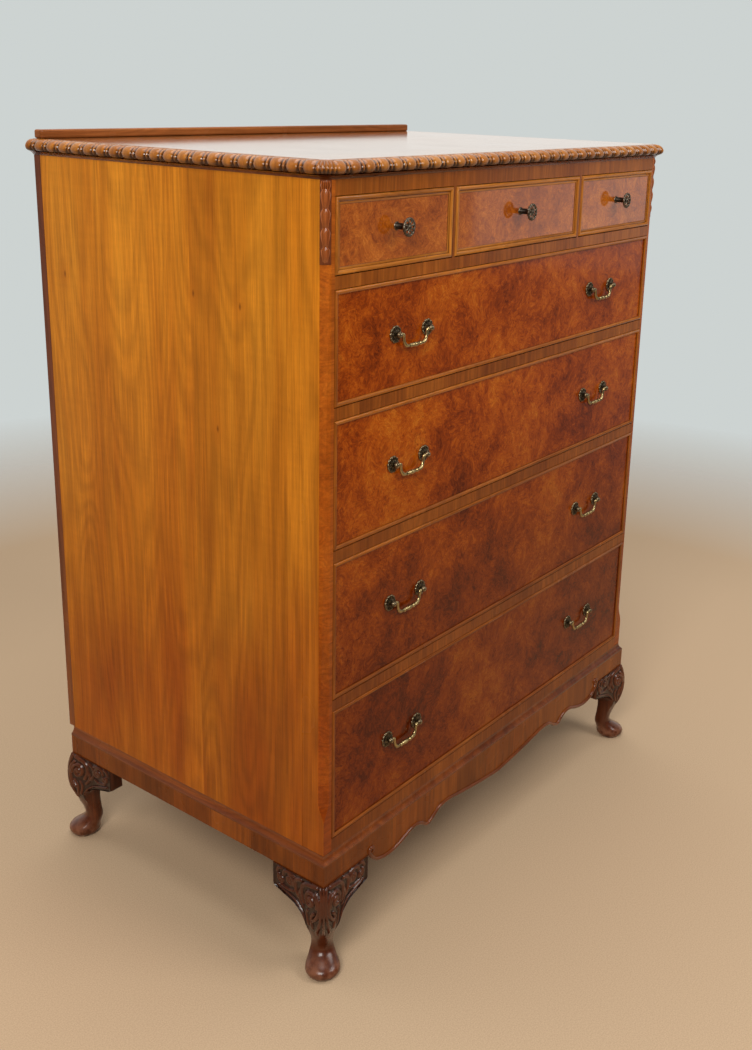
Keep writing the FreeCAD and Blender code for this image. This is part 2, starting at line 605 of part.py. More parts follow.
# Front rails, and behind each of them the runners and dust boards that carry the drawers.
LEVELS = [
    ("bottom", BODY_BOTTOM, FOUR_LOW), ("four", FOUR_HIGH, THREE_LOW), ("three", THREE_HIGH, TWO_LOW),
    ("two", TWO_HIGH, ONE_LOW), ("one", ONE_HIGH, SMALL_LOW), ("frieze", SMALL_HIGH, BODY_TOP),
]
rails = []
runners = []
dust_boards = []
INSIDE = (f"(-{HALF_INSIDE})", HALF_INSIDE)
RUN = ("dim.rail_depth", BACK_FRONT)
RUNNER_INSIDE = f"({HALF_INSIDE} - dim.runner_width)"
GUIDE_LOW = f"({HALF_MIDDLE} + dim.divider / 2 - dim.runner_width / 2)"
GUIDE_HIGH = f"({GUIDE_LOW} + dim.runner_width)"
for name, low, high in LEVELS:
    rails.append(board(f"rail_{name}", INSIDE, ("0", "dim.rail_depth"), (low, high)))
    runners += pair(f"runner_{name}", (RUNNER_INSIDE, HALF_INSIDE), RUN, (low, high))
    middle = f"(({low} + {high}) / 2)"
    board_heights = (f"{middle} - dim.dust_board / 2", f"{middle} + dim.dust_board / 2")
    if name in ("one", "frieze"):
        runners += pair(f"guide_{name}", (GUIDE_LOW, GUIDE_HIGH), RUN, (low, high))
    if name == "one":
        dust_boards += pair("dust_one_side", (GUIDE_HIGH, RUNNER_INSIDE), RUN, board_heights)
        dust_boards.append(board("dust_one_middle", (f"-{GUIDE_LOW}", GUIDE_LOW), RUN, board_heights))
    elif name != "frieze":
        dust_boards.append(board(f"dust_{name}", (f"-{RUNNER_INSIDE}", RUNNER_INSIDE), RUN, board_heights))
keep("drawer_rails", rails)
keep("drawer_runners", runners)
keep("dust_boards", dust_boards)
keep("drawer_dividers", pair("divider", (HALF_MIDDLE, OUTER_INSIDE), ("0", BACK_FRONT),
                             (SMALL_LOW, SMALL_HIGH)))


# ---------------------------------------------------------------- drawers

def cut_with(name, base, tools):
    """base with every tool cut out of it."""
    tool = tools[0]
    if len(tools) > 1:
        tool = doc.addObject("Part::MultiFuse", name + "_tools")
        tool.Shapes = tools
    cut = doc.addObject("Part::Cut", name + "_bored")
    cut.Base = base
    cut.Tool = tool
    return cut


def bead(name, length, width, turn, x, z):
    """One mitred cock bead: a bar as deep as the drawer front and its projection."""
    strip = doc.addObject("Part::Wedge", name)
    depth = "(dim.front_wood + dim.front_set + dim.bead_proud)"
    limits = [
        ("Xmin", f"-({length}) / 2"), ("Xmax", f"({length}) / 2"), ("Ymin", "0"), ("Ymax", width),
        ("Zmin", "0"), ("Zmax", depth), ("X2min", f"-({length}) / 2 + {width}"),
        ("X2max", f"({length}) / 2 - {width}"), ("Z2min", "0"), ("Z2max", depth),
    ]
    for limit, expression in limits:
        strip.setExpression(limit, expression)
    stand = FreeCAD.Rotation(FreeCAD.Vector(1, 0, 0), 90)
    spin = FreeCAD.Rotation(FreeCAD.Vector(0, 1, 0), turn)
    strip.Placement = FreeCAD.Placement(FreeCAD.Vector(), spin.multiply(stand))
    return put(strip, x, "dim.front_wood + dim.front_set", z)


def make_drawer(name, opening, bead_width, holes):
    """Front, cock beads, box and bottom of one drawer.  opening holds the low and high
    expressions of its opening across X and up Z; holes are the bolts' (x, z)."""
    (left, right), (low, high) = opening
    middle = f"(({left} + {right}) / 2)"
    half = f"(({right} - ({left})) / 2 - dim.drawer_gap)"
    base = f"({low} + dim.drawer_gap)"
    crest = f"({high} - dim.drawer_gap)"
    front_depth = ("dim.front_set", "dim.front_set + dim.front_wood")
    front_width = (f"{middle} - {half} + {bead_width}", f"{middle} + {half} - {bead_width}")
    front = board(f"{name}_front_board", front_width, front_depth,
                  (f"{base} + {bead_width}", f"{crest} - {bead_width}"))
    bores = []
    for number, (x, z) in enumerate(holes):
        bores.append(rod(f"{name}_bore_{number}", "dim.shank_radius + dim.bore_gap", "dim.front_wood + 10",
                         x, "dim.front_set - 5", z, (0, 1, 0)))
    keep(f"{name}_front", [cut_with(f"{name}_front", front, bores)])

    tall = f"({crest} - {base})"
    centre = f"(({crest} + {base}) / 2)"
    keep(f"{name}_beads", [
        bead(f"{name}_bead_low", f"2 * {half}", bead_width, 0, middle, base),
        bead(f"{name}_bead_high", f"2 * {half}", bead_width, 180, middle, crest),
        bead(f"{name}_bead_left", tall, bead_width, 90, f"{middle} - {half}", centre),
        bead(f"{name}_bead_right", tall, bead_width, 270, f"{middle} + {half}", centre),
    ])

    box_half = f"(({right} - ({left})) / 2 - dim.side_gap)"
    box_back = f"({BACK_FRONT} - dim.back_gap)"
    behind = "dim.front_set + dim.front_wood"
    side_heights = (base, f"{high} - dim.top_gap")
    floor_low = f"{base} + dim.bottom_lift"
    floor_high = f"{floor_low} + dim.bottom_wood"
    left_inside = f"{middle} - {box_half} + dim.side_wood"
    right_inside = f"{middle} + {box_half} - dim.side_wood"
    keep(f"{name}_box", [
        board(f"{name}_side_left", (f"{middle} - {box_half}", left_inside), (behind, box_back), side_heights),
        board(f"{name}_side_right", (right_inside, f"{middle} + {box_half}"), (behind, box_back), side_heights),
        board(f"{name}_back", (left_inside, right_inside), (f"{box_back} - dim.side_wood", box_back),
              (floor_high, f"{high} - dim.top_gap")),
        board(f"{name}_bottom", (left_inside, right_inside), (behind, box_back), (floor_low, floor_high)),
    ])


def bolt(name, x, z):
    """Threaded shank from the drawer front's face to its nut, and the nut inside."""
    shank = rod(name + "_shank", "dim.shank_radius", "dim.front_wood + dim.nut_thickness",
                x, "dim.front_set", z, (0, 1, 0))
    nut = doc.addObject("Part::Prism", name + "_nut")
    nut.Polygon = 6
    nut.setExpression("Circumradius", "dim.nut_radius")
    nut.setExpression("Height", "dim.nut_thickness")
    turn = FreeCAD.Rotation(FreeCAD.Vector(0, 0, 1), FreeCAD.Vector(0, 1, 0))
    nut.Placement = FreeCAD.Placement(FreeCAD.Vector(), turn)
    put(nut, x, "dim.front_set + dim.front_wood", z)
    return [shank, nut]


def fuse(name, parts):
    whole = doc.addObject("Part::MultiFuse", name)
    whole.Shapes = parts
    return whole


def make_knob(name, x, z):
    """A round knob on a stem, with its bolt through the drawer front."""
    stem = rod(name + "_stem", "dim.knob_stem", "dim.knob_reach + dim.front_set - dim.knob_head",
               x, "dim.front_set", z, (0, -1, 0))
    head = rod(name + "_head", "dim.knob_radius", "dim.knob_head",
               x, "-dim.knob_reach + dim.knob_head", z, (0, -1, 0))
    keep(name, [fuse(name + "_whole", [stem, head] + bolt(name, x, z))])


def handle_post(name, x, z):
    """Rosette, post, round head and bolt of one end of a handle, bored across for the
    bail's pin."""
    plate = rod(name + "_plate", "dim.rosette_radius", "dim.rosette_wood", x, "dim.front_set", z, (0, -1, 0))
    post = rod(name + "_post", "dim.post_radius", "dim.pivot_out", x, "dim.front_set", z, (0, -1, 0))
    head = doc.addObject("Part::Sphere", name + "_ball")
    head.setExpression("Radius", "dim.post_head")
    put(head, x, "dim.front_set - dim.pivot_out", z)
    whole = fuse(name + "_whole", [plate, post, head] + bolt(name, x, z))
    bore = rod(name + "_bore", "dim.pin_radius + dim.pin_gap", "2 * dim.post_head + 2",
               f"{x} - dim.post_head - 1", "dim.front_set - dim.pivot_out", z, (1, 0, 0))
    return cut_with(name, whole, [bore])


def make_bail(label, x, z):
    """The swinging grip: a pin at each end, two short sides and a bar with a turned
    swelling in the middle.  It hangs straight down."""
    line = "dim.front_set - dim.pivot_out"
    half = "dim.post_spacing / 2"
    bar_half = f"({half} - dim.bail_neck)"
    bar_z = f"{z} - dim.bail_drop"
    parts = []
    for side, hand in ((-1, "left"), (1, "right")):
        parts.append(rod(f"{label}_pin_{hand}", "dim.pin_radius", "dim.bail_neck + dim.post_head",
                         f"{x} + {side} * {bar_half}", line, z, (side, 0, 0)))
        elbow = doc.addObject("Part::Sphere", f"{label}_elbow_{hand}")
        elbow.setExpression("Radius", "dim.bail_radius")
        parts.append(put(elbow, f"{x} + {side} * {bar_half}", line, z))
        corner = doc.addObject("Part::Sphere", f"{label}_corner_{hand}")
        corner.setExpression("Radius", "dim.bail_radius")
        parts.append(put(corner, f"{x} + {side} * {bar_half}", line, bar_z))
        parts.append(rod(f"{label}_side_{hand}", "dim.bail_radius", "dim.bail_drop",
                         f"{x} + {side} * {bar_half}", line, z, (0, 0, -1)))
    parts.append(rod(f"{label}_bar", "dim.bail_radius", f"2 * {bar_half}",
                     f"{x} - {bar_half}", line, bar_z, (1, 0, 0)))
    for side, hand in ((-1, "left"), (1, "right")):
        taper = doc.addObject("Part::Cone", f"{label}_swell_{hand}")
        taper.setExpression("Radius1", "dim.swell_radius")
        taper.setExpression("Radius2", "dim.bail_radius - 0.3")
        taper.setExpression("Height", "dim.swell_length / 2")
        taper.Placement.Rotation = FreeCAD.Rotation(FreeCAD.Vector(0, 0, 1), FreeCAD.Vector(side, 0, 0))
        parts.append(put(taper, x, line, bar_z))
    keep(label, [fuse(label + "_whole", parts)])


LONG_DRAWERS = [
    ("drawer_one", ONE_LOW, ONE_HIGH), ("drawer_two", TWO_LOW, TWO_HIGH),
    ("drawer_three", THREE_LOW, THREE_HIGH), ("drawer_four", FOUR_LOW, FOUR_HIGH),
]
for name, low, high in LONG_DRAWERS:
    line = f"(({low} + {high}) / 2 + dim.handle_rise)"
    ends = []
    for handle in (-1, 1):
        for end in (-1, 1):
            ends.append(f"({handle} * dim.handle_centre + {end} * dim.post_spacing / 2)")
    make_drawer(name, (INSIDE, (low, high)), "dim.bead_long", [(x, line) for x in ends])
    posts = [handle_post(f"{name}_post_{number}", x, line) for number, x in enumerate(ends)]
    keep(f"{name}_handle_posts", posts)
    make_bail(f"{name}_bail_left", "(-dim.handle_centre)", line)
    make_bail(f"{name}_bail_right", "dim.handle_centre", line)

SMALL_DRAWERS = [
    ("small_drawer_left", f"(-{HALF_INSIDE})", f"(-{OUTER_INSIDE})"),
    ("small_drawer_middle", f"(-{HALF_MIDDLE})", HALF_MIDDLE),
    ("small_drawer_right", OUTER_INSIDE, HALF_INSIDE),
]
for name, left, right in SMALL_DRAWERS:
    line = f"(({SMALL_LOW} + {SMALL_HIGH}) / 2 + dim.knob_rise)"
    middle = f"(({left} + {right}) / 2)"
    make_drawer(name, ((left, right), (SMALL_LOW, SMALL_HIGH)), "dim.bead_small", [(middle, line)])
    make_knob(f"{name}_knob", middle, line)

# ---------------------------------------------------------------- check and write

doc.recompute()
faults = []
for thing in doc.Objects:
    if "Invalid" in thing.State or "Error" in thing.State:
        faults.append(f"{thing.Label}: {thing.State}")
for node in nodes:
    if node.Shape.isNull() or not node.Shape.isValid():
        faults.append(f"{node.Label}: bad shape")
    elif not node.Shape.Solids:
        faults.append(f"{node.Label}: no solid")
if faults:
    raise RuntimeError("; ".join(faults))

os.makedirs("parts", exist_ok=True)
for node in nodes:
    node.Shape.exportStep(f"parts/{node.Label}.step")
print(len(nodes), "nodes written")
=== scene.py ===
from math import cos, dist, exp, hypot, pi, radians, sin, sqrt, tan

import bmesh
import bpy
import numpy as np
from mathutils import Matrix, Vector


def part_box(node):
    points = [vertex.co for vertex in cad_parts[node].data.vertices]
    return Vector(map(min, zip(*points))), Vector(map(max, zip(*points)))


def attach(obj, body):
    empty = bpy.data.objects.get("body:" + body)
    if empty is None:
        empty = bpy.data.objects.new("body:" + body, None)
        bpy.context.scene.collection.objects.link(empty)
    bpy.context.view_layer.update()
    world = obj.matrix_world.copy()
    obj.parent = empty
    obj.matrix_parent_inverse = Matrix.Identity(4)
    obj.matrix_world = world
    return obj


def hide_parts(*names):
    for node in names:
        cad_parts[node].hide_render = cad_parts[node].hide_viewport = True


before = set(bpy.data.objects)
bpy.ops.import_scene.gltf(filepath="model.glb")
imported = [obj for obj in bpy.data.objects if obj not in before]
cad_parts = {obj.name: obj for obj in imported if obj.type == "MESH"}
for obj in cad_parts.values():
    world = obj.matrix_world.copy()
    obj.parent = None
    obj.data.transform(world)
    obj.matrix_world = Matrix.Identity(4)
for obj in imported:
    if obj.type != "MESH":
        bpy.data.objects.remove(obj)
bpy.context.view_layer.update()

scene = bpy.context.scene

# -------------- cabriole legs
# Four legs of dark stained walnut, each carved from one block with its two shaped ears:
# a pad foot, a thin ankle and a knee under the plinth corner.  Scrolls and leaves are cut
# into the knee and ears, and the pad feet are rubbed pale near the floor.

plinth_low, plinth_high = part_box("plinth_rails")
apron_low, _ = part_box("apron")
LEG_TOP = plinth_low.z
PLINTH_SIDE = plinth_high.x
PLINTH_FRONT = apron_low.y
PLINTH_REAR = plinth_high.y
MM = 0.001


def adder(tree):
    """A function that adds a node with its inputs and settings to a node tree."""
    def add(kind, inputs=None, **settings):
        node = tree.nodes.new("ShaderNode" + kind)
        for key, value in settings.items():
            setattr(node, key, value)
        for socket, value in (inputs or {}).items():
            if isinstance(value, bpy.types.NodeSocket):
                tree.links.new(value, node.inputs[socket])
            else:
                node.inputs[socket].default_value = value
        return node

    return add


def new_finish(name):
    """A material, its shader, its adder, and a function that joins a value to the shader."""
    material = bpy.data.materials.new(name)
    material.use_nodes = True
    tree = material.node_tree
    shader = tree.nodes["Principled BSDF"]

    def join(output, socket):
        tree.links.new(output, shader.inputs[socket])

    return material, shader, adder(tree), join


def show(name, data):
    """An object of its own for a mesh, a lamp or a camera."""
    made = bpy.data.objects.new(name, data)
    scene.collection.objects.link(made)
    return made


def tone_ramp(add, factor, stops):
    """A colour ramp: stops are (position, (r, g, b))."""
    ramp = add("ValToRGB", {"Fac": factor})
    while len(ramp.color_ramp.elements) < len(stops):
        ramp.color_ramp.elements.new(0.5)
    for element, (position, colour) in zip(ramp.color_ramp.elements, stops):
        element.position = position
        element.color = (*colour, 1)
    return ramp.outputs["Color"]


def blend(add, factor, first, second, kind="MIX"):
    """One colour over another: MIX, MULTIPLY, SCREEN and so on."""
    node = add("Mix", {0: factor}, data_type="RGBA", blend_type=kind)
    tree = node.id_data
    for socket, value in ((6, first), (7, second)):
        if isinstance(value, bpy.types.NodeSocket):
            tree.links.new(value, node.inputs[socket])
        else:
            node.inputs[socket].default_value = (*value, 1)
    return node.outputs[2]


def spread(add, value, low, high, to_low=0.0, to_high=1.0):
    """A value taken from one range to another and held inside it."""
    return add("MapRange", {"Value": value, "From Min": low, "From Max": high,
                            "To Min": to_low, "To Max": to_high}).outputs["Result"]


def maths(add, kind, first, second=0.0):
    """A sum of one or two values: ADD, MULTIPLY, FLOOR and so on."""
    return add("Math", {0: first, 1: second}, operation=kind).outputs[0]


def vectors(add, kind, first, second):
    """ADD, SUBTRACT or MULTIPLY on two vectors."""
    return add("VectorMath", {0: first, 1: second}, operation=kind).outputs[0]


def scaled(add, vector, by):
    """A vector made longer or shorter."""
    return add("VectorMath", {0: vector, "Scale": by}, operation="SCALE").outputs[0]


def noise(add, place, scale, detail, output="Fac", **more):
    """The level of a cloudy pattern, or its colour."""
    inputs = {"Vector": place, "Scale": scale, "Detail": detail, **more}
    return add("TexNoise", inputs).outputs[output]


def darken(add, colour, by):
    """A colour multiplied by a value or by another colour."""
    return blend(add, 1.0, colour, by, "MULTIPLY")


def polish(add, join, shader, specular, coat, sheen, height, bump):
    """Lacquer over wood: how glossy it is, and the faint relief of the fibres."""
    for socket, value in (("Specular IOR Level", specular), ("Coat Weight", coat),
                          ("Coat Roughness", sheen), ("Coat IOR", 1.45)):
        shader.inputs[socket].default_value = value
    join(add("Bump", {"Height": height, "Strength": bump, "Distance": 0.0004}).outputs[0],
         "Normal")


def walnut_grain(add, apart, place, grain, tones, stripe, fleck, leaf):
    """Colour and fibre height of straight-grained walnut along one axis.  leaf = (axis,
    width, offset, contrast) gives the veneer leaves laid side by side."""
    tint = None
    if leaf:
        axis, width, offset, contrast = leaf
        steps = maths(add, "DIVIDE", maths(add, "ADD", apart[axis], offset), width)
        chance = add("TexWhiteNoise", {"W": maths(add, "FLOOR", steps)}, noise_dimensions="1D")
        jump = vectors(add, "MULTIPLY", chance.outputs["Color"], (3.1, 3.7, 4.3))
        place = vectors(add, "ADD", place, jump)
        tint = spread(add, chance.outputs["Value"], 0, 1, 1 - contrast, 1 + contrast)
        from_middle = maths(add, "SUBTRACT", maths(add, "FRACT", steps), 0.5)
        seam = spread(add, maths(add, "ABSOLUTE", from_middle), 0.5 - 0.0007 / width, 0.5, 0, 0.35)

    def stretched(across, along):
        scale = [along if axis == grain else across for axis in "XYZ"]
        return add("Mapping", {"Vector": place, "Scale": scale}).outputs[0]

    # Wandering light and dark bands give the three tones.
    sway = scaled(add, noise(add, stretched(7.0, 1.6), 1.0, 2.0, "Color"), 1.5)
    banded = vectors(add, "ADD", stretched(stripe, stripe * 0.06), sway)
    bands = noise(add, banded, 1.0, 5.0, Roughness=0.62)
    broad = noise(add, stretched(6.0, 1.1), 1.0, 2.0)
    colour = tone_ramp(add, spread(add, maths(add, "ADD", bands, broad), 0.62, 1.38),
                       list(zip((0.0, 0.5, 1.0), tones)))
    # Over them lie fine lines, the arches of the heartwood's rings, a faint cross curl,
    # streaks of fibre and small dark pores.
    lines = noise(add, vectors(add, "ADD", stretched(190.0, 5.5), sway), 1.0, 4.0,
                  Roughness=0.65)
    colour = darken(add, colour, spread(add, lines, 0.36, 0.64, 0.86, 1.09))
    heart = noise(add, stretched(stripe * 0.32, stripe * 0.045), 1.0, 1.0, Distortion=0.4)
    rings = maths(add, "SINE", maths(add, "MULTIPLY", heart, 95.0))
    colour = darken(add, colour, spread(add, rings, -1, 0.6, 0.87, 1.03))
    curl = noise(add, stretched(16.0, 120.0), 1.0, 2.0)
    colour = darken(add, colour, spread(add, curl, 0.35, 0.65, 0.975, 1.02))
    fibre = noise(add, stretched(520.0, 9.0), 1.0, 3.0, Roughness=0.6)
    colour = darken(add, colour, spread(add, fibre, 0.3, 0.7, 0.84, 1.10))
    pores = noise(add, stretched(1100.0, 34.0), 1.0, 2.0)
    colour = blend(add, spread(add, pores, 0.62, 0.7, 0, fleck), colour,
                   [0.3 * c for c in tones[0]])
    if tint:
        colour = darken(add, colour, tint)
        colour = blend(add, seam, colour, tones[0])
    return colour, fibre


def walnut(name, grain, tones, stripe=26.0, fleck=0.35, rough=(0.24, 0.36), coat=0.16,
           sheen=0.09, leaf=None, recess_shade=None, shade=None, bump=0.05, outside=None, worn=None,
           knots=()):
    """Straight-grained polished walnut.  recess = (colour, strength) is painted shade laid
    into carved hollows, cuts, grooves and bead edges, as far as each point's cut_shade asks;
    shade = (axis, from, to, colour) is painted shade that darkens the colour along an axis,
    towards where less light falls.  outside = (axis, limit, grain, tones, stripe, leaf) is
    another veneer beyond a plane, worn = (height, colour) is where feet have rubbed the
    polish pale, and knots are small dark pin knots at (y, z)."""
    material, shader, add, join = new_finish(name)
    place = add("TexCoord").outputs["Object"]
    apart = add("SeparateXYZ", {0: place}).outputs
    colour, fibre = walnut_grain(add, apart, place, grain, tones, stripe, fleck, leaf)
    if outside:
        axis, limit, *other = outside
        second, _ = walnut_grain(add, apart, place, *other[:3], fleck, other[3])
        beyond = maths(add, "GREATER_THAN", maths(add, "ABSOLUTE", apart[axis]), limit)
        colour = blend(add, beyond, colour, second)
    # Painted shade: the colour darkens in ragged patches along an axis, towards where less light
    # falls.
    if shade:
        axis, start, end, dark = shade
        spaced = add("Mapping", {"Vector": place, "Scale": (9.0, 9.0, 2.5)}).outputs[0]
        ragged = noise(add, spaced, 1.0, 3.0)
        depth = maths(add, "MULTIPLY", spread(add, apart[axis], start, end), ragged)
        colour = blend(add, spread(add, depth, 0.05, 0.62), colour, dark, "MULTIPLY")
    for y, z in knots:
        flat = add("CombineXYZ", {1: apart["Y"], 2: apart["Z"]}).outputs[0]
        gap = vectors(add, "MULTIPLY", vectors(add, "SUBTRACT", flat, (0.0, y, z)),
                      (1.0, 1.0, 0.45))
        away = add("VectorMath", {0: gap}, operation="LENGTH").outputs["Value"]
        colour = blend(add, spread(add, away, 0.002, 0.016, 0.35, 0), colour, tones[0])
        colour = blend(add, spread(add, away, 0.0006, 0.0030, 0.75, 0), colour,
                       [0.3 * c for c in tones[0]])
    if worn:
        height, pale = worn
        patch = noise(add, place, 70.0, 4.0)
        low = spread(add, apart["Z"], height, height * 0.45, 0, 1)
        rub = maths(add, "MULTIPLY", low, spread(add, patch, 0.42, 0.62))
        colour = blend(add, rub, colour, pale)
    # Painted shade: a dark colour is mixed in as far as the mesh's cut values ask, darkening
    # carved hollows, cuts and bead edges.
    if recess_shade:
        cut = add("Attribute", attribute_name="cut_shade").outputs["Fac"]
        colour = blend(add, spread(add, cut, 0.25, 0.95, 0, recess_shade[1]), colour, recess_shade[0])
    join(colour, "Base Color")
    handled = noise(add, place, 11.0, 3.0)
    join(spread(add, handled, 0.3, 0.7, *rough), "Roughness")
    polish(add, join, shader, 0.12, coat, sheen, fibre, bump)
    return material


def make_piece(name, points, faces, finish, body, slot_name, stands_for=(), sharp=40,
               cut_shade=None):
    """A mesh from points in metres, turned outwards, with its finish and body; slot_name is not
    used.
    """
    mesh = bpy.data.meshes.new(name)
    mesh.from_pydata([tuple(map(float, p)) for p in points], [], [tuple(f) for f in faces])
    if cut_shade is not None:
        layer = mesh.attributes.new("cut_shade", "FLOAT", "POINT")
        layer.data.foreach_set("value", np.asarray(cut_shade, np.float32))
    shell = bmesh.new()
    shell.from_mesh(mesh)
    bmesh.ops.recalc_face_normals(shell, faces=shell.faces)
    shell.to_mesh(mesh)
    shell.free()
    mesh.shade_smooth()
    mesh.set_sharp_from_angle(angle=radians(sharp))
    mesh.materials.append(finish)
    made = show(name, mesh)
    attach(made, body)
    if stands_for:
        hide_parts(*stands_for)
    return made


def grid_faces(rows, columns, closed=True, first=0):
    """Quads over rows of points, each row joined to the next."""
    faces = []
    for row in range(rows - 1):
        for column in range(columns if closed else columns - 1):
            a = first + row * columns + column
            b = first + row * columns + (column + 1) % columns
            faces.append((a, b, b + columns, a + columns))
    return faces


def table(rows, z):
    """Straight-line reading of a table of (z, value, ...) rows."""
    rows = sorted(rows)
    heights = [r[0] for r in rows]
    return [float(np.interp(z, heights, [r[k] for r in rows])) for k in range(1, len(rows[0]))]


# Under the knee: height, middle, half depth and half width along and across the
# diagonal (outwards +), and how round the section is (1 is a circle).
SHANK = [
    (0, -13.5, 20, 20, 1), (0.8, -13.5, 21.4, 21.4, 1), (2.5, -13.5, 22.2, 22.2, 1),
    (4.5, -13.5, 24.4, 24.4, 1), (7, -13.5, 25.8, 25.8, 1), (10, -13.5, 26.2, 26.2, 1),
    (13, -13.9, 25.8, 25.8, 1), (16, -15.2, 25, 24.9, 1), (19, -17.8, 23.4, 23.4, 1),
    (22, -21, 21.2, 21.6, 0.96), (26, -25, 18.6, 19.8, 0.92), (30, -28.4, 16.3, 18.2, 0.86),
    (35, -30.2, 14.5, 16.8, 0.78), (41, -29.8, 14.1, 15.8, 0.72), (48, -28, 14.6, 15.6, 0.62),
    (56, -25.6, 15.9, 16.6, 0.48), (65, -22.8, 17.8, 18.8, 0.4), (74, -20.2, 20.2, 21.8, 0.3),
    (84, -17.6, 22.4, 24.6, 0.2), (90, -16, 24, 26, 0.2), (160, -14, 26, 30, 0.2),
]
# From the knee up: height, reach of an ear, its depth from the plinth face, how far the
# knee stands out at the corner, and the corner's radius.
KNEE = [
    (80, 33, 33, 4.4, 9), (84, 34, 33.5, 5.4, 9), (88, 36.5, 34, 6.6, 9),
    (92, 40, 33, 7.7, 9), (96, 45, 31, 8.5, 9), (100, 52, 29.5, 9, 9),
    (104, 61, 28, 9.3, 9), (108, 73, 27, 9.4, 9), (111, 83, 26, 9.5, 9),
    (113.5, 92, 25.5, 9.5, 9), (115.5, 98, 25, 9.5, 9), (118, 100, 25, 9.4, 9),
    (126, 100, 24.5, 8.9, 9), (134, 100, 24.5, 7.8, 8.5), (145, 100, 24.5, 5.2, 7.5),
    (154, 100, 24.5, 2.2, 6.5),
]
EAR_PROUD = 1.5
EAR_REACH = 100.0
REAR_EAR_REACH = 50.0
CUT_RINGS = 74
FACE_STEPS = 64
CORNER_STEPS = 10
CARVED_FROM = 62
CARVING_SINK = 1.6


def spiral(middle_u, middle_z, outer, inner, turns, start, hand):
    """A scroll: points that wind in to a middle."""
    points = []
    for step in range(90):
        share = step / 89
        radius = outer + (inner - outer) * share ** 0.85
        turn = radians(start) + hand * share * turns * 2 * pi
        points.append((middle_u + radius * cos(turn), middle_z + radius * sin(turn)))
    return points


def smooth_line(corners, count=60):
    """A smooth curve through corners, in two or three dimensions."""
    p = np.array([corners[0], *corners, corners[-1]], float)
    out = []
    spans = len(corners) - 1
    for step in range(count + 1):
        t = step / count * spans
        k = min(int(t), spans - 1)
        f = t - k
        a, b, c, d = p[k], p[k + 1], p[k + 2], p[k + 3]
        out.append(0.5 * (2 * b + (c - a) * f + (2 * a - 5 * b + 4 * c - d) * f ** 2
                          + (3 * b - a - 3 * c + d) * f ** 3))
    return [tuple(q) for q in out]


# Raised lines of the carving on one face: points (from the corner, height), half width
# and height of each.
CARVING = [
    (spiral(27, 127, 14.5, 2, 1.6, 200, -1), 3.2, 2.6),
    (spiral(27, 127, 4, 0.5, 1, 0, 1), 3.6, 2),
    ([(0, 152 - k) for k in range(80)], 2.3, 2.2),
    (smooth_line([(13, 150), (24, 148.5), (36, 146), (45, 139), (47, 128), (43, 117)]), 3.3, 2.2),
    (smooth_line([(14, 141), (9.5, 131), (9.5, 118), (13, 106), (20, 96)]), 3.2, 2.4),
    (smooth_line([(6, 150), (4, 134), (4.5, 117), (7, 101), (10, 86), (12, 74)]), 3, 2),
    (smooth_line([(20, 109), (25, 101), (24, 91), (20, 80)]), 3, 1.8),
    (smooth_line([(33, 109), (36, 102), (33, 93), (28, 84)]), 2.6, 1.6),
    (spiral(71, 137, 9, 1.5, 1.4, 100, 1), 2.9, 2.3),
    (smooth_line([(46, 148), (56, 144), (61, 136), (61, 127), (56, 119)]), 3, 2.1),
    (smooth_line([(50, 131), (53, 124), (51, 115), (45, 108)]), 2.8, 1.8),
    (smooth_line([(60, 147), (70, 149), (79, 147), (84, 140)]), 2.9, 2),
    (spiral(89, 132, 7, 1.5, 1.1, 60, -1), 2.8, 2.1),
    (smooth_line([(66, 122), (74, 120), (83, 121), (91, 123)]), 2.6, 1.8),
    (smooth_line([(84, 150), (91, 148), (96, 142)]), 2.6, 1.7),
    (smooth_line([(97, 120), (90, 117), (80, 114), (68, 110.5), (58, 106), (49, 100),
                  (42, 93), (37, 85), (34, 76)]), 1.8, 1.7),
]


def carved_height(u, z):
    """Height of the carving over its sunk ground, in millimetres."""
    ground = np.zeros(len(u))
    for line, half, high in CARVING:
        away = np.full(len(u), 1e9)
        for at_u, at_z in line:
            away = np.minimum(away, (u - at_u) ** 2 + (z - at_z) ** 2)
        away = np.sqrt(away)
        ground = np.maximum(ground, high * np.sqrt(np.clip(1 - (away / half) ** 2, 0, 1)))
    return ground


def ease(share):
    """A share held between 0 and 1, that starts and ends gently."""
    share = min(max(share, 0), 1)
    return share * share * (3 - 2 * share)


def section_path(reach_a, reach_b, depth, out, radius):
    """One section of knee and ears in plan: x runs along the front, y along the side,
    both inwards from the plinth corner.  The corner's points come first, then the front
    face's, then the ends and the back, and the side face's last."""
    def run(start, end, count):
        return [(start[0] + (end[0] - start[0]) * k / count,
                 start[1] + (end[1] - start[1]) * k / count) for k in range(count)]

    def offset(u):
        return out + (EAR_PROUD - out) * ease((u - 8) / 52)

    def face(reach):
        return [(u, -offset(u)) for u in
                [radius - out + (reach - tip - radius + out) * k / FACE_STEPS
                 for k in range(1, FACE_STEPS + 1)]]

    tip = 2.2
    depth_a, depth_b = min(depth, reach_b - 1), min(depth, reach_a - 1)
    turns = [radians(90 * k / CORNER_STEPS) for k in range(CORNER_STEPS + 1)]
    corner = [(radius - out - radius * cos(a), radius - out - radius * sin(a))
              for a in turns]
    end_a = run((reach_a, -offset(reach_a) + tip), (reach_a, depth_a - tip), 8)
    back_a = run((reach_a - tip, depth_a), (depth_b, depth_a), 10)
    back_b = run((depth_b, depth_a), (depth_b, reach_b - tip), 10)
    end_b = run((depth_b - tip, reach_b), (-offset(reach_b) + tip, reach_b), 8)
    face_b = [(x, y) for y, x in reversed(face(reach_b))]
    return np.array(corner + face(reach_a) + end_a + back_a + back_b + end_b + face_b, float)


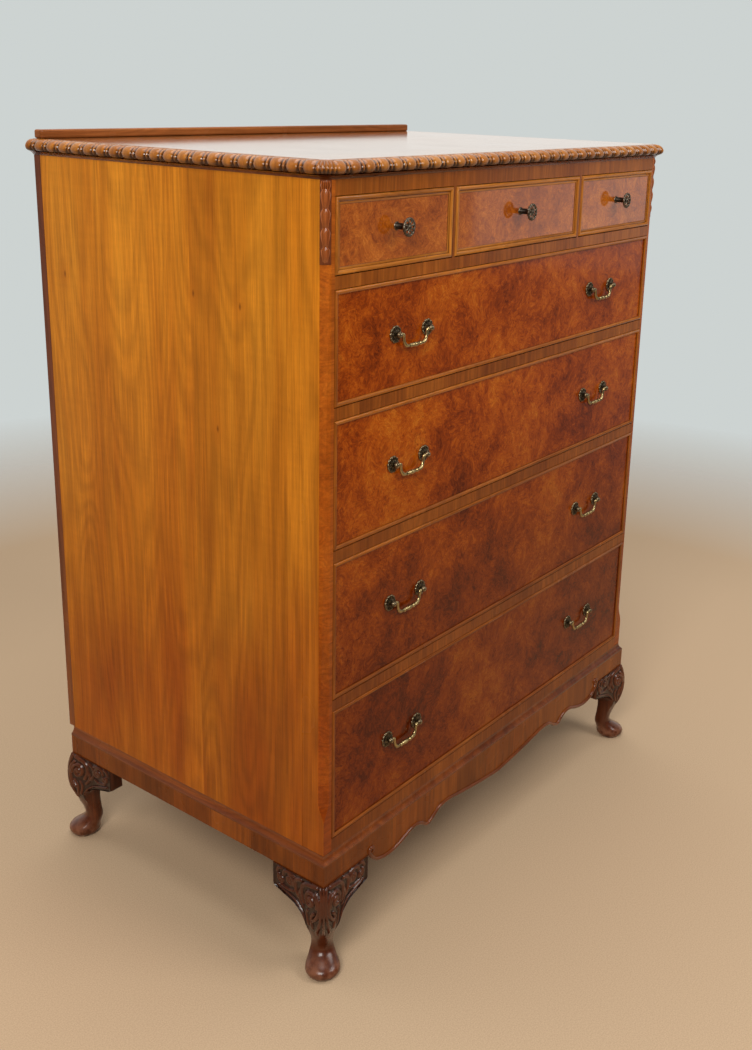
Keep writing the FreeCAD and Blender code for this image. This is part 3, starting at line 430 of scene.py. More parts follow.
def leg_mesh(reach_limit_a, reach_limit_b):
    """Points (millimetres, in plan from the plinth corner), faces and the painted shade of each
    point.
    """
    top = LEG_TOP / MM
    heights = ([0, 0.8, 1.6, 2.5, 3.5, 4.5, 5.7, 7, 8.5, 10, 11.5, 13, 14.5, 16, 17.5, 19, 20.5,
                22, 24, 26, 28, 30, 32.5, 35, 38, 41, 44.5, 48, 52, 56, 60.5, 65, 69.5, 74, 77]
               + list(np.linspace(80, top, CUT_RINGS)))
    diagonal = np.array([-1, -1]) / sqrt(2)
    across = np.array([1, -1]) / sqrt(2)
    # The shank's rings lie between a circle and this rounded square.
    wide, out, corner_radius = 33.0, 4.4, 9.0
    square = section_path(wide, wide, wide, out, corner_radius)
    half = (wide + out) / 2
    spoke = square - (wide - out) / 2
    length = np.linalg.norm(spoke, axis=1)
    unit = spoke / length[:, None]
    count = len(square)
    carved = np.concatenate([np.arange(count - FACE_STEPS, count),
                             np.arange(0, FACE_STEPS + CORNER_STEPS + 1)])
    points, cuts = [], []
    for z in heights:
        reach, depth, out, radius = table(KNEE, max(z, KNEE[0][0]))
        high = section_path(min(reach, reach_limit_a), min(reach, reach_limit_b), depth, out,
                            radius)
        middle, half_deep, half_wide, roundness = table(SHANK, z)
        shape = unit * ((1 - roundness) * length / half + roundness)[:, None]
        corner_reach = (1 - roundness) * (sqrt(2) - 0.414 * corner_radius / half) + roundness
        low = (middle * diagonal + np.outer(shape @ diagonal * half_deep / corner_reach, diagonal)
               + np.outer(shape @ across * half_wide / corner_reach, across))
        rise = ease((z - 78) / 20)
        ring = low * (1 - rise) + high * rise
        skin = ring[carved]
        step = np.linalg.norm(np.diff(skin, axis=0), axis=1)
        walk = np.concatenate([[0], np.cumsum(step)])
        walk -= walk[FACE_STEPS + CORNER_STEPS // 2]
        cut = np.zeros(count)
        if CARVED_FROM < z < top - 0.5:
            fade = min((z - CARVED_FROM) / 16, 1) * min((top - z) / 2, 1)
            edge = np.where(walk > 0, walk[-1] - walk, walk - walk[0])
            raised = carved_height(np.abs(walk), np.full(len(walk), z))
            inside = np.clip(edge / 2.5, 0, 1)
            along = np.gradient(skin, axis=0)
            along /= np.linalg.norm(along, axis=1)[:, None]
            outward = np.column_stack([along[:, 1], -along[:, 0]])
            ring[carved] += outward * ((raised - CARVING_SINK) * fade * inside * 1.5)[:, None]
            # Painted shade in the sunk ground between the carving's raised lines.
            cut[carved] = np.clip(1 - raised / 1.8, 0, 1) * fade
        points.extend([(x, y, z) for x, y in ring])
        cuts.extend(cut)
    faces = grid_faces(len(heights), count)
    faces += [tuple(range(count)), tuple(range(len(points) - count, len(points)))]
    return np.array(points), faces, cuts


LEG_TONES = [(0.034, 0.0065, 0.0018), (0.080, 0.0165, 0.0040), (0.145, 0.035, 0.009)]
# Near-black painted shade fills the carving's sunk ground.
leg_walnut = walnut("dark_carved_walnut", "Z", LEG_TONES, stripe=38, fleck=0.3,
                    rough=(0.24, 0.36), coat=0.7, sheen=0.22,
                    recess_shade=((0.012, 0.0028, 0.0012), 0.85), worn=(0.032, (0.20, 0.075, 0.038)))
for end, end_sign, corner_y, ear in (("front", -1, PLINTH_FRONT, EAR_REACH),
                                     ("rear", 1, PLINTH_REAR, REAR_EAR_REACH)):
    leg_points, leg_faces, leg_cuts = leg_mesh(ear, EAR_REACH)
    for hand, hand_sign in (("left", -1), ("right", 1)):
        placed = [(hand_sign * (PLINTH_SIDE - x * MM), corner_y - end_sign * y * MM, z * MM)
                  for x, y, z in leg_points]
        make_piece(f"cabriole_leg_{end}_{hand}", placed, leg_faces, leg_walnut, "carcase",
                   "dark_walnut", (f"leg_{end}_{hand}", "leg_brackets"), 50, leg_cuts)

# -------------- plinth
# A frame of four walnut rails, faced with short pieces of veneer whose grain stands
# upright, with glue blocks inside its corners.  A dark moulding is planted along its
# upper edge.  The front rail is the shaped apron, with a small round bead on its edge.

RAIL_TONES = [(0.115, 0.024, 0.0020), (0.19, 0.044, 0.0036), (0.27, 0.072, 0.0070)]
MOULDING_TONES = [(0.070, 0.013, 0.0020), (0.15, 0.032, 0.0042), (0.25, 0.064, 0.0100)]


def finish_node(name, finish, edge=0.0, segments=2):
    """A CAD part's finish, with its sharp edges eased by edge metres."""
    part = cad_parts[name]
    part.data.materials.clear()
    part.data.materials.append(finish)
    if edge:
        weld = part.modifiers.new("weld", "WELD")
        weld.merge_threshold = 0.00002
        eased = part.modifiers.new("eased_edges", "BEVEL")
        eased.limit_method = "ANGLE"
        eased.angle_limit = radians(38)
        eased.width = edge
        eased.segments = segments
        eased.harden_normals = True


def tube(path, radii, around=10, capped=True):
    """Points and faces of a round rod through the points of path."""
    p = np.array(path, float)
    radii = np.broadcast_to(radii, (len(p),))
    ahead = np.gradient(p, axis=0)
    ahead /= np.linalg.norm(ahead, axis=1)[:, None]
    side = np.cross(ahead[0], (0.0, 1.0, 0.0))
    if np.linalg.norm(side) < 0.1:
        side = np.cross(ahead[0], (0.0, 0.0, 1.0))
    points = []
    for k in range(len(p)):
        side = side - ahead[k] * (side @ ahead[k])
        side /= np.linalg.norm(side)
        other = np.cross(ahead[k], side)
        for j in range(around):
            a = 2 * pi * j / around
            points.append(p[k] + radii[k] * (cos(a) * side + sin(a) * other))
    faces = grid_faces(len(p), around)
    if capped:
        faces += [tuple(range(around)), tuple(range(len(points) - around, len(points)))]
    return points, faces


def together(parts):
    """Several (points, faces) as one."""
    points, faces = [], []
    for more, their_faces in parts:
        faces += [tuple(i + len(points) for i in f) for f in their_faces]
        points += [tuple(p) for p in more]
    return points, faces


def banded(name, axis, offset, contrast):
    """Short pieces of veneer, grain upright, laid side by side along an axis."""
    return walnut(name, "Z", RAIL_TONES, stripe=34, fleck=0.3, rough=(0.2, 0.32),
                  leaf=(axis, 0.085, offset, contrast))


rail_veneer = banded("upright_banded_walnut", "X", 0.46, 0.16)
side_rail_veneer = banded("upright_banded_walnut_side", "Y", 0.31, 0.18)
moulding_walnut, side_moulding_walnut = [
    walnut(name, grain, MOULDING_TONES, stripe=60, fleck=0.25, rough=(0.2, 0.3), coat=0.7)
    for name, grain in (("moulding_walnut", "X"), ("side_moulding_walnut", "Y"))]
PLAIN_TONES = [(0.20, 0.105, 0.045), (0.34, 0.19, 0.085), (0.46, 0.28, 0.14)]
plain_across, plain_along = [
    walnut(name, grain, PLAIN_TONES, stripe=24, fleck=0.3, rough=(0.5, 0.65), coat=0.0,
           leaf=leaf, bump=0.12)
    for name, grain, leaf in (("plain_board_across", "X", ("Y", 0.14, 0.3, 0.06)),
                              ("plain_board_along", "Y", None))]
finish_node("plinth_rails", side_rail_veneer, 0.0006)
finish_node("apron", rail_veneer, 0.0006)
finish_node("corner_blocks", plain_across, 0.001)
finish_node("plinth_moulding", side_moulding_walnut)

# A small round bead follows the apron's lower edge and curls up at each end.
EDGE_BEAD = 0.0031
BEAD_STEP = 0.003
BEAD_SINK = 0.0002
EAR_INNER_END = PLINTH_SIDE - 0.098
CURL_X, CURL_Z, CURL_RADIUS = 341.0, 158.5, 6.4
bead_y = PLINTH_FRONT - BEAD_SINK
lower_edge = {}
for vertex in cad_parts["apron"].data.vertices:
    x, y, z = vertex.co
    if abs(y - PLINTH_FRONT) < 0.0002:
        lower_edge[round(x, 4)] = min(z, lower_edge.get(round(x, 4), 9.0))
bead_line = [(x, lower_edge[x]) for x in sorted(lower_edge) if abs(x) < EAR_INNER_END]
bead_path = []
for first, second in zip(bead_line, bead_line[1:]):
    count = max(1, int(dist(first, second) / BEAD_STEP))
    for k in range(count):
        bead_path.append((first[0] + (second[0] - first[0]) * k / count, bead_y,
                          first[1] + (second[1] - first[1]) * k / count + EDGE_BEAD * 0.9))
for _ in range(2):
    softened = [tuple((np.array(a) + 2 * np.array(b) + np.array(c)) / 4)
                for a, b, c in zip(bead_path, bead_path[1:], bead_path[2:])]
    bead_path = [bead_path[0], *softened, bead_path[-1]]
curl = [(x * MM, bead_y, z * MM)
        for x, z in spiral(-CURL_X, CURL_Z, CURL_RADIUS, 1.4, 0.95, 212, -1)]
bead_path = [q for q in bead_path if abs(q[0]) < (CURL_X + 3.5) * MM]
bead_path = curl[::-3] + bead_path + [(-x, y, z) for x, y, z in curl[::3]]
from_end = np.minimum(np.arange(len(bead_path)), np.arange(len(bead_path))[::-1])
bead_radii = EDGE_BEAD + 0.0009 * np.clip(1 - from_end / 5, 0, 1)
make_piece("apron_edge_bead", *tube(bead_path, bead_radii), moulding_walnut, "carcase",
           "dark_walnut", sharp=60)

# -------------- carcase
# Two veneered sides between canted front posts and dark rear stiles, tied by the front
# rails.  The sides are three leaves of honey-coloured walnut, the posts and rails are
# crossbanded.  Runners, dust boards and the back are plain unpolished wood.

SIDE_TONES = [(0.42, 0.112, 0.0050), (0.54, 0.176, 0.0085), (0.66, 0.245, 0.0150)]
side_low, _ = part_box("side_panel_left")
SIDE_LEAF = ("Y", 0.178, 0.39, 0.11)
# Painted shade: the sides and posts darken towards the bottom, where less light falls.
LOW_SHADE = ("Z", 1.0, 0.40, (0.60, 0.40, 0.28))
PIN_KNOTS = [(-0.040, 0.979), (-0.129, 0.972), (0.238, 0.975), (-0.082, 0.796)]
side_veneer = walnut("side_veneer", "Z", SIDE_TONES, stripe=30, fleck=0.28, leaf=SIDE_LEAF,
                     rough=(0.16, 0.27), coat=0.14, knots=PIN_KNOTS, shade=LOW_SHADE)
POST_TONES = [(0.27, 0.055, 0.0035), (0.38, 0.088, 0.0060), (0.47, 0.130, 0.0110)]
post_veneer = walnut("post_crossbanding", "X", POST_TONES, stripe=70, fleck=0.22,
                     leaf=("Z", 0.11, 0.02, 0.10), rough=(0.18, 0.28),
                     outside=("X", -side_low.x - 0.0005, "Z", SIDE_TONES, 30, SIDE_LEAF),
                     shade=LOW_SHADE)
BAND_TONES = [(0.20, 0.046, 0.0040), (0.29, 0.077, 0.0066), (0.39, 0.116, 0.0120)]
# Painted shade darkens the rails towards the bottom.
band_veneer = walnut("rail_crossbanding", "Z", BAND_TONES, stripe=60, fleck=0.22,
                     leaf=("X", 0.095, 0.47, 0.05), rough=(0.18, 0.28),
                     shade=("Z", 1.0, 0.40, (0.62, 0.50, 0.46)))
stile_walnut = walnut("rear_stile_walnut", "Z", MOULDING_TONES, stripe=50, fleck=0.25,
                      rough=(0.25, 0.35), coat=0.5)
for part, finish, edge in (
        ("side_panel_left", side_veneer, 0), ("side_panel_right", side_veneer, 0),
        ("corner_posts", post_veneer, 0.0006), ("rear_stiles", stile_walnut, 0.0010),
        ("drawer_rails", band_veneer, 0), ("drawer_dividers", band_veneer, 0),
        ("back_panel", plain_across, 0), ("dust_boards", plain_across, 0),
        ("drawer_runners", plain_along, 0)):
    finish_node(part, finish, edge)

# A chain of carved husks hangs on each canted corner: a leafy cap over four bell
# flowers, each with a raised middle rib and two side petals, on a thin sunk ground.

post_low, post_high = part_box("corner_posts")
husk_low, husk_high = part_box("husk_carvings")
CANT = 0.011
GROUND_HALF = 7.3
GROUND_OUT = 0.5
# Top, bottom, width and height of the cap and each flower.
HUSK_LEVELS = [(1143.6, 1130.8, 14.0, 2.8), (1133.8, 1106.4, 13.8, 3.4),
               (1110.4, 1083.0, 13.8, 3.4), (1087.0, 1059.8, 13.6, 3.4),
               (1063.6, 1042.4, 12.6, 3.1)]
HUSK_ROWS, HUSK_COLUMNS = 26, 25
HUSK_TONES = [(0.26, 0.062, 0.012), (0.42, 0.115, 0.024), (0.56, 0.180, 0.046)]
husk_walnut = walnut("husk_walnut", "Z", HUSK_TONES, stripe=80, fleck=0.2, rough=(0.18, 0.28),
                     coat=0.9, recess_shade=((0.045, 0.009, 0.004), 0.9))


def husk(top, bottom, width, high, cap):
    """One bell flower on a flat ground: (across, up, out) in millimetres, and the painted shade of
    each point.
    """
    points, cuts = [], []
    for row in range(HUSK_ROWS):
        t = row / (HUSK_ROWS - 1)
        z = top + (bottom - top) * t
        if cap:
            half = width / 2 * (0.78 + 0.22 * sin(pi * min(t * 1.2, 1)))
        else:
            half = width / 2 * (0.50 + 0.50 * sin(pi / 2 * min(t / 0.24, 1)))
            if t > 0.24:
                half *= 1 - 0.60 * ((t - 0.24) / 0.76) ** 1.6
        for column in range(HUSK_COLUMNS):
            a = -1 + 2 * column / (HUSK_COLUMNS - 1)
            dome = sqrt(max(1 - a * a, 0))
            rib = exp(-(a / 0.44) ** 2)
            petal = exp(-((abs(a) - 0.74) / 0.20) ** 2) * (1 - 0.65 * t)
            if cap:
                rib, petal = 0.5 + 0.5 * cos(5 * pi * a), 0.0
            swell = sin(pi * min(0.12 + t * 0.95, 1)) ** 0.6
            out = high * (0.48 * dome + 0.78 * max(rib, petal)) * swell
            points.append((a * half, z, max(out, 0.1)))
            # Painted shade between and beside the petals, and at their edges.
            cuts.append(min(1.0, (1 - max(rib, petal)) * 0.75 + (0.5 if abs(a) > 0.93 else 0)))
    faces = grid_faces(HUSK_ROWS, HUSK_COLUMNS, closed=False)
    grid = np.arange(HUSK_ROWS * HUSK_COLUMNS).reshape(HUSK_ROWS, HUSK_COLUMNS)
    rim = np.concatenate([grid[0], grid[1:, -1], grid[-1, -2::-1], grid[-2:0:-1, 0]]).tolist()
    start = len(points)
    # The foot of the rim, down on the ground, is darkened as painted shade.
    for index in rim:
        across, up, _ = points[index]
        points.append((across, up, -0.6))
        cuts.append(1.0)
    for k, index in enumerate(rim):
        following = (k + 1) % len(rim)
        faces.append((index, rim[following], start + following, start + k))
    faces.append(tuple(range(start, start + len(rim))))
    return points, faces, cuts


for hand, sign in (("left", -1), ("right", 1)):
    ground = Vector((sign * (post_high.x - CANT / 2), post_low.y + CANT / 2, 0))
    outwards = Vector((sign, -1, 0)).normalized()
    across = Vector((1, sign, 0)).normalized()
    low, high = husk_low.z / MM, husk_high.z / MM
    # The sunk ground is darkened all over with painted shade.
    ground_plate = ([(a, z, out) for out in (-GROUND_OUT, GROUND_OUT) for a, z in
                     ((-GROUND_HALF, low), (GROUND_HALF, low),
                      (GROUND_HALF, high), (-GROUND_HALF, high))],
                    [(0, 1, 2, 3), (4, 5, 6, 7), (0, 1, 5, 4), (1, 2, 6, 5), (2, 3, 7, 6),
                     (3, 0, 4, 7)], [0.80] * 8)
    flowers = [husk(*measures, level == 0) for level, measures in enumerate(HUSK_LEVELS)]
    chain = [ground_plate, *flowers]
    flat, husk_faces = together([part[:2] for part in chain])
    husk_points = [ground + across * a * MM + outwards * out * MM + Vector((0, 0, z * MM))
                   for a, z, out in flat]
    make_piece(f"carved_husks_{hand}", husk_points, husk_faces, husk_walnut, "carcase",
               "dark_walnut", ("husk_carvings",), 55, [cut for part in chain for cut in part[2]])

# Each cant ends in a small lamb's tongue, where it runs out to the square foot of the
# post: a sliver of the post's own wood, swept out in an ogee.

STOP_ABOVE = 0.048
TONGUE = 0.034
TONGUE_STEPS = 17
for hand, sign in (("left", -1), ("right", 1)):
    tongue_points = []
    for step in range(TONGUE_STEPS):
        t = step / (TONGUE_STEPS - 1)
        back = CANT * 0.98 * t * t * (3 - 2 * t)
        z = post_low.z + STOP_ABOVE + TONGUE * t - 0.0004 * (step == 0)
        for dx, dy in ((0, CANT), (0, back), (back, 0), (CANT, 0)):
            tongue_points.append((sign * (post_high.x - dx), post_low.y + dy, z))
    last = len(tongue_points) - 4
    tongue_faces = grid_faces(TONGUE_STEPS, 4) + [(0, 1, 2, 3), tuple(range(last, last + 4))]
    make_piece(f"cant_lamb_tongue_{hand}", tongue_points, tongue_faces, post_veneer, "carcase",
               "walnut_veneer", sharp=35)

# -------------- top
# A veneered top board with a carved edge planted round three sides: plump golden lobes
# with a narrow fillet between two cuts after each, and a leaf on each canted corner.  The
# cuts and the lobes' undersides are darkened with painted shade.  A plain dark moulding sits
# under the top, and a low gallery at the back.

_, board_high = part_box("top_board")
_, edge_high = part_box("carved_top_edge")
TOP_TONES = [(0.20, 0.065, 0.016), (0.30, 0.110, 0.028), (0.40, 0.165, 0.050)]
top_veneer = walnut("top_veneer", "X", TOP_TONES, stripe=26, fleck=0.25, rough=(0.10, 0.17),
                    coat=1.0, leaf=("Y", 0.15, 0.33, 0.06), bump=0.02)
finish_node("top_board", top_veneer)
finish_node("top_under_moulding", moulding_walnut, 0.0008)
GALLERY_TONES = [(0.12, 0.034, 0.008), (0.24, 0.070, 0.016), (0.34, 0.115, 0.03)]
gallery_walnut = walnut("gallery_walnut", "X", GALLERY_TONES, stripe=60, fleck=0.25,
                        rough=(0.2, 0.3))
finish_node("back_gallery", gallery_walnut, 0.0035, 4)

EDGE_TONES = [(0.23, 0.062, 0.007), (0.35, 0.115, 0.015), (0.48, 0.190, 0.034)]
edge_walnut = walnut("carved_edge_walnut", "Z", EDGE_TONES, stripe=70, fleck=0.2,
                     rough=(0.16, 0.26), coat=0.7, recess_shade=((0.030, 0.008, 0.003), 0.93))
PITCH = 27.6
CUT = 2.7
RUN_STEP = 1.05
# Out from the body face and down from the top surface, and how much of the carving shows.
# The fourth row is the dark line where the edge meets the board.
NOSE = [(-6, 0, 0), (-1.5, 0, 0), (-0.4, 0, 0), (0.2, -0.7, 0), (0.9, -0.75, 0),
        (1.6, -0.3, 0.25), (3.4, -0.55, 0.7), (5.6, -1.2, 0.95), (7.7, -2.2, 1), (9.6, -3.5, 1),
        (11.2, -5.1, 1), (12.5, -6.9, 1), (13.4, -8.9, 1), (13.7, -10.8, 1), (13.3, -12.7, 1),
        (12.3, -14.4, 1), (10.9, -15.8, 0.9), (9.4, -16.8, 0.7), (7.9, -17.4, 0.35),
        (6.6, -17.6, 0), (-6, -17.9, 0)]


def lobe_height(s):
    """The carving's level at a distance along the edge: 0 on a lobe, -CUT in a cut."""
    u = (s / PITCH) % 1.0
    lobe = 1 - (abs(u - 0.34) / 0.366) ** 3.6
    fillet = 0.80 * (1 - (abs(u - 0.845) / 0.094) ** 2)
    return -CUT * (1 - max(lobe, fillet, 0.0))


def leaf_height(s, length):
    """A leaf over a canted corner: a rib and two curled sides."""
    a = (s / length - 0.5) * 2
    return -CUT * (0.08 + 0.62 * abs(sin(2.5 * pi * a)) ** 1.5 * (1 - 0.3 * abs(a)))


half_body = post_high.x / MM
face_y = post_low.y / MM
back_y = edge_high.y / MM
cant = CANT / MM
top_z = board_high.z / MM
turn_out = tan(radians(22.5))
plan = [(-half_body, back_y), (-half_body, face_y + cant), (-half_body + cant, face_y),
        (half_body - cant, face_y), (half_body, face_y + cant), (half_body, back_y)]
mitre = [(-1, 0), (-1, -turn_out), (-turn_out, -1), (turn_out, -1), (1, -turn_out), (1, 0)]
slopes = np.gradient(np.array([(o, d) for o, d, _ in NOSE]), axis=0)
edge_points, edge_cuts = [], []
LEFT, FRONT, RIGHT, LEAVES = 0, 2, 4, (1, 3)
for run in range(5):
    start, stop = np.array(plan[run], float), np.array(plan[run + 1], float)
    length = float(np.linalg.norm(stop - start))
    steps = 30 if run in LEAVES else int(length / RUN_STEP)
    for k in range(steps + (run == RIGHT)):
        t = k / steps
        s = t * length
        if run in LEAVES:
            level = leaf_height(s, length)
        elif run == FRONT:
            level = lobe_height(s + PITCH * 0.02)
        else:
            level = lobe_height((length - s if run == LEFT else s) - 2.0)
        at = start + (stop - start) * t
        lean = np.array(mitre[run]) * (1 - t) + np.array(mitre[run + 1]) * t
        for row, (out, down, share) in enumerate(NOSE):
            along, rise = slopes[row] / hypot(*slopes[row])
            push = level * share
            edge_points.append((*(at + lean * (out - push * rise)) * MM,
                                (top_z + down + push * along) * MM))
            # Painted shade: the rows under the nose darken, as do the cuts with their depth.
            shade_under_lobes = max(row - 12, 0) * 0.17
            edge_cuts.append(0.9 if row == 3 else min(1.0, -push / CUT + shade_under_lobes))
rows = len(edge_points) // len(NOSE)
edge_faces = grid_faces(rows, len(NOSE))
edge_faces += [tuple(range(len(NOSE))), tuple(range((rows - 1) * len(NOSE), rows * len(NOSE)))]
make_piece("carved_lobed_edge", edge_points, edge_faces, edge_walnut, "carcase", "dark_walnut",
           ("carved_top_edge",), 50, edge_cuts)

# -------------- drawers
# Seven drawers of plain wood with thick walnut fronts.  Each front is faced with burr
# veneer, sunk inside four mitred cock beads that stand a little proud of the carcase:
# broad pale ones on the small drawers, thin ones on the long drawers.

BURR_TONES = [(0.115, 0.016, 0.0010), (0.260, 0.040, 0.0016), (0.400, 0.078, 0.0032),
              (0.510, 0.138, 0.0080)]


def burr_walnut(name, tones, turn, coat, rough=(0.13, 0.24)):
    """Burr veneer: cloudy gold and brown, thick with curls and small dark eyes."""
    material, shader, add, join = new_finish(name)
    object_place = add("TexCoord").outputs["Object"]
    place = add("Mapping", {"Vector": object_place, "Rotation": turn}).outputs[0]
    pull = scaled(add, noise(add, place, 13.0, 3.0, "Color"), 0.075)
    bent = vectors(add, "ADD", place, pull)
    clouds = noise(add, bent, 21.0, 6.0, Roughness=0.66)
    curls = noise(add, bent, 135.0, 6.0, Roughness=0.74, Distortion=0.9)
    pool = spread(add, noise(add, place, 6.5, 2.0), 0.3, 0.7, -0.16, 0.16)
    both = maths(add, "ADD", maths(add, "MULTIPLY", curls, 1.05), clouds)
    both = maths(add, "ADD", both, pool)
    colour = tone_ramp(add, spread(add, both, 0.72, 1.34),
                       list(zip((0.0, 0.36, 0.68, 1.0), tones)))
    eyed = vectors(add, "ADD", bent, scaled(add, curls.node.outputs["Color"], 0.012))
    eyes = add("TexVoronoi", {"Vector": eyed, "Scale": 125.0, "Randomness": 1.0})
    eye = spread(add, eyes.outputs["Distance"], 0.10, 0.34, 1, 0)
    crowd = spread(add, noise(add, bent, 27.0, 2.0), 0.44, 0.62, 0, 0.62)
    colour = blend(add, maths(add, "MULTIPLY", eye, crowd), colour, tones[0])
    specks = noise(add, bent, 420.0, 3.0, Roughness=0.7)
    colour = darken(add, colour, spread(add, specks, 0.32, 0.68, 0.74, 1.16))
    # Painted shade: the burr darkens towards the bottom of the chest, where less light falls.
    height = add("SeparateXYZ", {0: object_place}).outputs["Z"]
    colour = blend(add, spread(add, height, 0.80, 0.42), colour, (0.52, 0.44, 0.42),
                   "MULTIPLY")
    join(colour, "Base Color")
    join(spread(add, clouds, 0.3, 0.7, *rough), "Roughness")
    polish(add, join, shader, 0.1, coat, 0.06, curls, 0.05)
    return material


BEAD_TONES = [(0.26, 0.074, 0.008), (0.40, 0.130, 0.014), (0.54, 0.195, 0.026)]
DARK_BEAD_TONES = [(0.22, 0.054, 0.005), (0.35, 0.100, 0.009), (0.46, 0.150, 0.017)]
# Painted shade: the beads darken towards the bottom of the chest, and along their sides and
# groove.
bead_finishes = {
    kind: [walnut(f"{kind}_bead_{run}", grain, tones, stripe=90, rough=(0.2, 0.3), coat=0.3,
                  shade=("Z", 0.85, 0.35, (0.50, 0.38, 0.30)),
                  recess_shade=((0.045, 0.011, 0.004), 0.85))
           for run, grain in (("along", "X"), ("upright", "Z"))]
    for kind, tones in (("small", BEAD_TONES), ("long", DARK_BEAD_TONES))}
SMALL_BURR_TONES = [(0.19, 0.034, 0.0024), (0.33, 0.072, 0.0050), (0.46, 0.118, 0.0090),
                    (0.56, 0.176, 0.0180)]
burr_small = burr_walnut("burr_small_drawers", SMALL_BURR_TONES, (0.0, 0.5, 0.0), 1.0)
burr_long = burr_walnut("burr_long_drawers", BURR_TONES, (0.0, -0.7, 0.0), 0.14)
SMALL_DRAWERS = ["small_drawer_left", "small_drawer_middle", "small_drawer_right"]
LONG_DRAWERS = ["drawer_one", "drawer_two", "drawer_three", "drawer_four"]


def cock_bead(name, finishes):
    """A mitred bead with a rounded nose round a drawer front."""
    low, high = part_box(f"{name}_beads")
    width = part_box(f"{name}_front")[0].x - low.x
    broad = width > 0.009
    nose = 0.0031 if broad else width / 2
    # The third number of each profile point is painted shade: the bead's sides, where it stands
    # off the rail, and the groove and inner step of a broad bead are darkened.
    profile = [(0.0, high.y, 1.0), (0.0, low.y + nose * 1.02, 0.9)]
    for step in range(1, 12):
        a = radians(15 * step)
        profile.append((nose - nose * cos(a), low.y + nose - nose * sin(a),
                        0.45 if step in (1, 11) else 0.0))
    if broad:
        profile += [(2 * nose, low.y + 0.0028, 1.0), (2 * nose + 0.0007, low.y + 0.0024, 0.35),
                    (width - 0.0010, low.y + 0.0026, 0.0), (width - 0.0003, low.y + 0.0029, 0.6)]
    profile += [(width, low.y + max(nose, 0.0031), 1.0), (width, high.y, 1.0)]
    corners = [(low.x, low.z, 1, 1), (high.x, low.z, -1, 1), (high.x, high.z, -1, -1),
               (low.x, high.z, 1, -1)]
    points = [(x + sx * inset, y, z + sz * inset)
              for x, z, sx, sz in corners for inset, y, _ in profile]
    cuts = [cut for _ in corners for _, _, cut in profile]
    count = len(profile)
    faces, upright = [], []
    for corner in range(4):
        here, beyond = corner * count, (corner + 1) % 4 * count
        for k in range(count):
            following = (k + 1) % count
            faces.append((here + k, here + following, beyond + following, beyond + k))
            upright.append(corner % 2)
    made = make_piece(f"{name}_cock_bead", points, faces, finishes[0], name, "bead_walnut",
                      (f"{name}_beads",), 50, cuts)
    made.data.materials.append(finishes[1])
    made.data.polygons.foreach_set("material_index", upright)


for kind, names, burr in (("small", SMALL_DRAWERS, burr_small), ("long", LONG_DRAWERS, burr_long)):
    for name in names:
        finish_node(f"{name}_front", burr)
        finish_node(f"{name}_box", plain_along)
        cock_bead(name, bead_finishes[kind])

# -------------- brass
# Old brass, dark in the hollows and bright where hands rub it: three pierced flower
# knobs on turned stems, and eight handles, each with two petalled roses, two round post
# heads and a cast swan-neck bail with a turned swelling, hung on pins in the heads.


def old_brass(name, dull, bright, worn):
    """Cast brass with dark polish in its hollows and rubbed edges."""
    material, shader, add, join = new_finish(name)
    place = add("TexCoord").outputs["Object"]
    lump = noise(add, place, 260.0, 4.0, Roughness=0.6)
    patch = maths(add, "MULTIPLY", maths(add, "SUBTRACT", lump, 0.5), 0.22)
    form = add("NewGeometry").outputs["Pointiness"]
    rubbed = spread(add, maths(add, "ADD", form, patch), *worn)
    join(blend(add, rubbed, dull, bright), "Base Color")
    join(spread(add, rubbed, 0, 1, 0.46, 0.24), "Roughness")
    shader.inputs["Metallic"].default_value = 1.0
    fine = noise(add, place, 1500.0, 2.0)
    join(add("Bump", {"Height": fine, "Strength": 0.12, "Distance": 0.0002}).outputs[0], "Normal")
    return material


knob_brass = old_brass("dark_knob_brass", (0.035, 0.028, 0.022), (0.30, 0.24, 0.17), (0.49, 0.66))
rose_brass = old_brass("rose_brass", (0.045, 0.032, 0.020), (0.34, 0.26, 0.15), (0.48, 0.64))
bail_brass = old_brass("bail_brass", (0.12, 0.085, 0.035), (0.52, 0.40, 0.19), (0.42, 0.60))


def turned(profile, steps=40, centre=(0.0, 0.0), ripple=None):
    """A piece turned about a line along Y: profile is (radius, y) from the back to the
    front, ripple changes a point's radius and depth from its angle."""
    points = []
    for radius, y in profile:
        for step in range(steps):
            a = 2 * pi * step / steps
            r, depth = ripple(radius, y, a) if ripple else (radius, y)
            points.append((centre[0] + r * cos(a), depth, centre[1] + r * sin(a)))
    faces = grid_faces(len(profile), steps)
    faces += [tuple(range(steps)), tuple(range(len(points) - steps, len(points)))]
    return points, faces


def loop_rod(centre, y, turn, inner, outer, half_width, radius, around=8, steps=22):
    """A petal: a closed loop of rod, drawn from near a flower's middle to its rim."""
    ring = []
    for step in range(steps):
        a = 2 * pi * step / steps
        along = (inner + outer) / 2 - (outer - inner) / 2 * cos(a)
        wide = half_width * sin(a) * (0.65 + 0.35 * (along - inner) / (outer - inner))
        lift = 0.0009 * sin(pi * (along - inner) / (outer - inner))
        ring.append((centre[0] + along * cos(turn) - wide * sin(turn), y - lift,
                     centre[1] + along * sin(turn) + wide * cos(turn)))
    return closed_tube(ring, radius, around)


def closed_tube(ring, radii, around):
    """A rod through a ring of points, joined to its own start."""
    points, faces = tube(ring + [ring[0]], radii, around, capped=False)
    points = points[:-around]
    return points, [tuple(i % len(points) for i in f) for f in faces]


FRONT_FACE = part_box("drawer_one_front")[0].y
RIM_STEPS = 64
RIM_ROD = 0.0019
